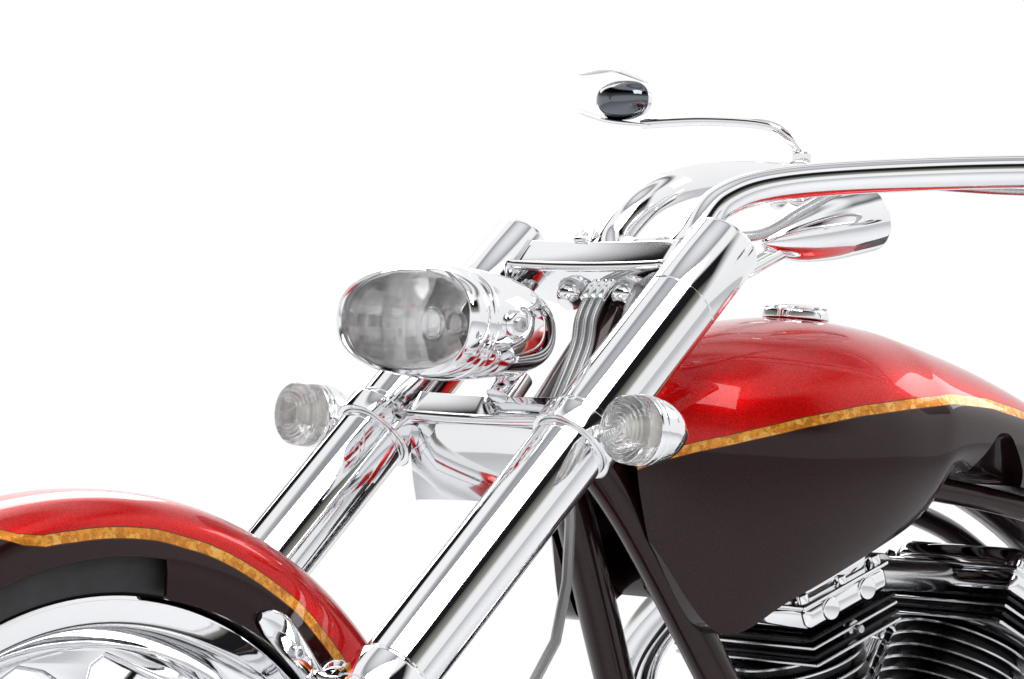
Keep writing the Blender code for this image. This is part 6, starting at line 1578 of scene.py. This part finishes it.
def make_head(name, hand):
    """A finned head with a polished rocker cover in two layers, its bolts and a plug."""
    axis = cylinder_axis(hand)
    fore = axis.cross(ACROSS)
    start = CRANK + axis * 0.3039
    piece = Piece()
    layers = [(0.016, (0.150, 0.100, 0.032), 0.010, ENGINE_BLACK)]
    layers += [(0.0035 + 0.0078 * i, (0.172, 0.112, 0.0032), 0.0014,
                ENGINE_BLACK if i % 2 else SATIN) for i in range(4)]
    layers += [(0.0440, (0.168, 0.108, 0.022), 0.007, CHROME),
               (0.0560, (0.172, 0.112, 0.0042), 0.0018, CHROME),
               (0.0650, (0.156, 0.100, 0.0340), 0.0165, CHROME)]
    for level, size, edge, material in layers:
        piece.add(box(start + axis * level, size, facing(ACROSS, fore, axis), edge), material)
    for side in (-1, 1):
        rim = start + axis * 0.0580
        for deep in (-1, 1):
            spot = rim + ACROSS * side * 0.0775 + fore * deep * 0.0475
            hex_bolt(piece, spot, axis, 0.0052, 0.0075, CHROME)
        hex_bolt(piece, rim + ACROSS * side * 0.0800, axis, 0.0046, 0.0065, CHROME)
        rocker = start + axis * 0.0440 + ACROSS * side * 0.0835
        for deep in (-0.024, 0.024):
            piece.turned([(0, 0.004), (0.0095, 0.003), (0.0105, 0), (0, 0)],
                         rocker + fore * deep, ACROSS * side, CHROME, edge=0.001)
    piece.turned([(0, 0.0180), (0.0035, 0.0180), (0.0040, 0.010), (0.0075, 0.0095),
                  (0.0075, 0.004), (0.0090, 0.004), (0.0090, 0), (0, 0)],
                 start + axis * 0.016 + ACROSS * 0.074, ACROSS, STEEL, 24, 0.001)
    piece.done(name, "chassis", name, slot="chrome")


def obround(start, start_radius, end, end_radius, steps):
    """Two circles in the side view and the straight lines that wrap them."""
    delta = (end[0] - start[0], end[1] - start[1])
    heading = atan2(delta[1], delta[0])
    first = pi / 2 - asin((start_radius - end_radius) / hypot(*delta))
    return [(centre[0] + radius * cos(begin + span * i / steps),
             centre[1] + radius * sin(begin + span * i / steps))
            for centre, radius, begin, span in (
                (end, end_radius, heading - first, 2 * first),
                (start, start_radius, heading + first, 2 * (pi - first)))
            for i in range(steps + 1)]


def ring_bolts(piece, outline, count, side, hand, radius):
    """Cap screws spread evenly round an outline in the side view."""
    for back, up in outline[::max(1, len(outline) // count)]:
        hex_bolt(piece, Vector((side, back, up)), ACROSS * hand, radius, 0.004)


SHAFT = (CRANK.y, CRANK.z)
GEARBOX = (1.130, 0.345)
CAM_LOW, CAM_HIGH = (CRANK.y - 0.0136, CRANK.z), (CRANK.y, CRANK.z + 0.0476)


def cylinder_across(hand):
    """Square to a cylinder's axis in the side view, away from the other cylinder."""
    axis = cylinder_axis(hand)
    return Vector((0, axis.z, -axis.y)) * hand


def make_crankcase():
    points = [(CRANK.y, CRANK.z + 0.1680 / cos(LEAN))]
    for hand in (1, -1):
        corner = CRANK + cylinder_axis(hand) * 0.1677 + cylinder_across(hand) * 0.064
        low = [(corner.y, corner.z), (CRANK.y + hand * 0.135, CRANK.z),
               (CRANK.y + hand * 0.0972, CRANK.z - 0.108), (CRANK.y + hand * 0.0608, 0.1433)]
        points += low[::hand]
    case = Piece()
    case.add(slab(points, 0.159, side_plane(0), 0.006), ENGINE_BLACK)
    case.add(slab(points, 0.012, side_plane(0)), SATIN)
    case.done("crankcase", "chassis", "crankcase", slot="black_metal")


def make_primary_cover():
    """A cover in three layers over the shaft and the gearbox, with screws and two discs."""
    primary = Piece()
    foot = 0.0803
    for size, centre, thick, edge in ((1.0, foot, 0.030, 0.004), (0.97, 0.1080, 0.0270, 0.006),
                                      (0.84, 0.1250, 0.0340, 0.008)):
        outline = obround(SHAFT, 0.088 * size, GEARBOX, 0.098 * size, 40)
        place = side_plane(foot + (centre - foot) * 0.62 + thick * 0.5)
        primary.add(slab(outline, thick, place, edge, 5), CHROME, 50)
    ring_bolts(primary, obround(SHAFT, 0.080, GEARBOX, 0.090, 6), 14, 0.1225, 1, 0.0040)
    for spot, radius in ((SHAFT, 0.044), (GEARBOX, 0.056)):
        primary.turned([(0, 0.0010), (radius * 0.7, 0.0010), (radius * 0.78, -0.0004),
                        (radius * 0.90, -0.0004), (radius, 0.0010), (radius, -0.010),
                        (0, -0.010)], Vector((0.1410, *spot)), ACROSS, CHROME, 64, 0.0012)
    primary.done("primary_cover", "chassis", "primary_cover", slot="chrome")


def make_cam_cover():
    """A cover in two layers with its screws, and the pushrods' tubes with their collars."""
    cam = Piece()
    for low, high, thick, side, edge, segments in (
            (0.068, 0.0612, 0.022, -0.0913, 0.004, 4), (0.056, 0.049, 0.034, -0.0973, 0.007, 5)):
        cam.add(slab(obround(CAM_LOW, low, CAM_HIGH, high, 40), thick, side_plane(side), edge,
                     segments), CHROME, 50)
    ring_bolts(cam, obround(CAM_LOW, 0.062, CAM_HIGH, 0.0552, 5), 10, -0.1020, -1, 0.0038)
    for hand in (-1, 1):
        for offset in (0.004, 0.022):
            tube = []
            for height, side in ((0.0816, -0.0984), (0.1781, -0.0896), (0.3036, -0.078)):
                spot = CRANK + cylinder_axis(hand) * height - cylinder_across(hand) * offset
                spot.x = side
                tube.append(spot)
            cam.add(sweep(tube, 0.0078, 24), CHROME)
            for share in (0.12, 0.55, 0.94):
                cam.turned([(0.0076, 0.007), (0.0102, 0.006), (0.0102, -0.006), (0.0076, -0.007)],
                           along(tube[1], tube[2], share), tube[2] - tube[1], CHROME, 28, 0.001)
    cam.done("cam_cover", "chassis", "cam_cover", slot="chrome")


def make_air_cleaner():
    """A turned drum with a ribbed waist, and the intake that reaches between the heads."""
    middle = Vector((0, CRANK.y, 0.640))
    centre = middle - ACROSS * 0.108
    piece = Piece()
    piece.turned([(0, 0.047), (0.040, 0.047), (0.046, 0.050), (0.058, 0.047), (0.066, 0.036),
                  (0.068, 0.028), (0.068, 0.024), (0.064, 0.022), (0.064, 0.012), (0.068, 0.010),
                  (0.068, 0), (0, 0)], centre, -ACROSS, CHROME, 96, 0.003)
    for turn in turns(40):
        spot = round_spot(centre, -0.0115, 0.0655, turn)
        piece.add(rod(spot, spot - ACROSS * 0.011, 0.0016, edge=0.0003, steps=8), DARK)
    for turn in turns(3):
        hex_bolt(piece, round_spot(centre, -0.0465, 0.030, pi / 2 + turn), -ACROSS, 0.0050, 0.004)
    piece.add(rod(centre - ACROSS * 0.010, middle, 0.0196), SATIN)
    reach = BACK * (0.340 * tan(LEAN) - 0.059)
    piece.add(sweep([middle - reach, middle + reach], 0.014, 32), SATIN)
    piece.done("air_cleaner", "chassis", "air_cleaner", slot="chrome")


PIPES = (
    ((-0.0863, 0.748, 0.612), (-0.120, 0.748, 0.612), (-0.178, 0.750, 0.540),
     (-0.208, 0.790, 0.390), (-0.208, 0.900, 0.255), (-0.208, 1.080, 0.200),
     (-0.208, 1.500, 0.195), (-0.208, 1.760, 0.195)),
    ((-0.0863, 1.012, 0.612), (-0.120, 1.012, 0.612), (-0.180, 1.025, 0.530),
     (-0.208, 1.080, 0.380), (-0.208, 1.220, 0.275), (-0.208, 1.500, 0.260),
     (-0.208, 1.780, 0.260)))


def make_exhaust():
    """Two open pipes with a flange at the head, bands and a bridge."""
    piece = Piece()
    for rows in PIPES:
        points = [Vector(row) for row in rows]
        route = points[:1] + smooth_route(points[1:], 12)
        piece.add(sweep(route, 0.022, 40, cap=False), CHROME)
        piece.turned([(0.0220, 0), (0.0222, 0.0004), (0.0215, 0.0006), (0.0195, -0.001),
                      (0.0192, -0.090), (0, -0.090)], route[-1], route[-1] - route[-2],
                     ENGINE_BLACK, 48)
        piece.turned(collar(0.0222, 0.027, 0.012, 0), points[0] - ACROSS * 0.014, ACROSS, CHROME,
                     40, 0.002)
        for share in (0.50, 0.72):
            k = int(len(route) * share)
            piece.turned(collar(0.0222, 0.0236, 0.005, -0.005), route[k], route[k + 1] - route[k],
                         STEEL, 40, 0.001)
    piece.add(box(Vector((-0.208, 1.500, 0.2275)), (0.022, 0.022, 0.044), edge=0.003), CHROME)
    piece.done("exhaust_pipes", "chassis", "exhaust_pipes", slot="chrome")


make_frame()
make_crankcase()
make_primary_cover()
make_cam_cover()
for SIDE, HAND in (("front", -1), ("rear", 1)):
    make_cylinder(f"{SIDE}_cylinder", HAND)
    make_head(f"{SIDE}_rocker_box", HAND)
make_air_cleaner()
make_exhaust()
make_seat()
make_rear_fender()
make_disc("front_disc", FRONT, Vector((0.059, 0, FRONT_RADIUS)), 0.146, -0.0037)
make_disc("rear_disc", REAR, REAR_AXLE + Vector((0.128, 0, 0)), 0.135, -0.0277)


# Nodes that keep their own shape

SHARP_ANGLE = radians(38)
LEFT_OVER = {
    # material, width of the rounded edges
    "front_axle": (STEEL, 0.0015), "rear_axle": (STEEL, 0.0015),
    "front_caliper": (CHROME, 0.003), "rear_caliper": (CHROME, 0.003),
    "front_brake_hose": (BRAID, 0), "swingarm": (MAROON, 0.001), "gearbox": (SATIN, 0.003),
    "drive_belt": (TYRE_RUBBER, 0.0008), "rear_pulley": (STEEL, 0.0015),
    "oil_tank": (CHROME, 0.003), "tail_light": (RED_GLASS, 0.003),
    "number_plate": (SATIN, 0.0008), "left_foot_control": (CHROME, 0.001),
    "right_foot_control": (CHROME, 0.001), "side_stand": (CHROME, 0.001)}


def smooth_group():
    """Smooth shading with sharp edges left where faces meet at more than the given angle."""
    group = bpy.data.node_groups.new("smooth_by_angle", "GeometryNodeTree")
    for way in ("INPUT", "OUTPUT"):
        group.interface.new_socket("Geometry", in_out=way, socket_type="NodeSocketGeometry")
    start, end, faces, edges, angle, sharp = (group.nodes.new(kind) for kind in (
        "NodeGroupInput", "NodeGroupOutput", "GeometryNodeSetShadeSmooth",
        "GeometryNodeSetShadeSmooth", "GeometryNodeInputMeshEdgeAngle", "FunctionNodeCompare"))
    faces.domain, edges.domain = "FACE", "EDGE"
    edges.inputs["Shade Smooth"].default_value = False
    sharp.operation = "GREATER_THAN"
    sharp.inputs[1].default_value = SHARP_ANGLE
    for out, socket in ((angle.outputs["Unsigned Angle"], sharp.inputs[0]),
                        (start.outputs[0], faces.inputs["Geometry"]),
                        (faces.outputs[0], edges.inputs["Geometry"]),
                        (sharp.outputs[0], edges.inputs["Selection"]),
                        (edges.outputs[0], end.inputs[0])):
        group.links.new(out, socket)
    return group


def dress(name, material, bevel, group):
    """Rounds and smooths a node of the model that keeps its own shape."""
    item = bpy.data.objects[name]
    item.modifiers.new("weld", "WELD").merge_threshold = 1e-5
    if bevel:
        edge = item.modifiers.new("edge", "BEVEL")
        edge.width, edge.segments, edge.limit_method = bevel, 3, "ANGLE"
        edge.angle_limit = SHARP_ANGLE
        edge.use_clamp_overlap = True
    item.modifiers.new("smooth", "NODES").node_group = group
    for slot in item.material_slots:
        slot.material = material


SMOOTH = smooth_group()
for NAME, (FINISH, BEVEL) in LEFT_OVER.items():
    dress(NAME, FINISH, BEVEL, SMOOTH)
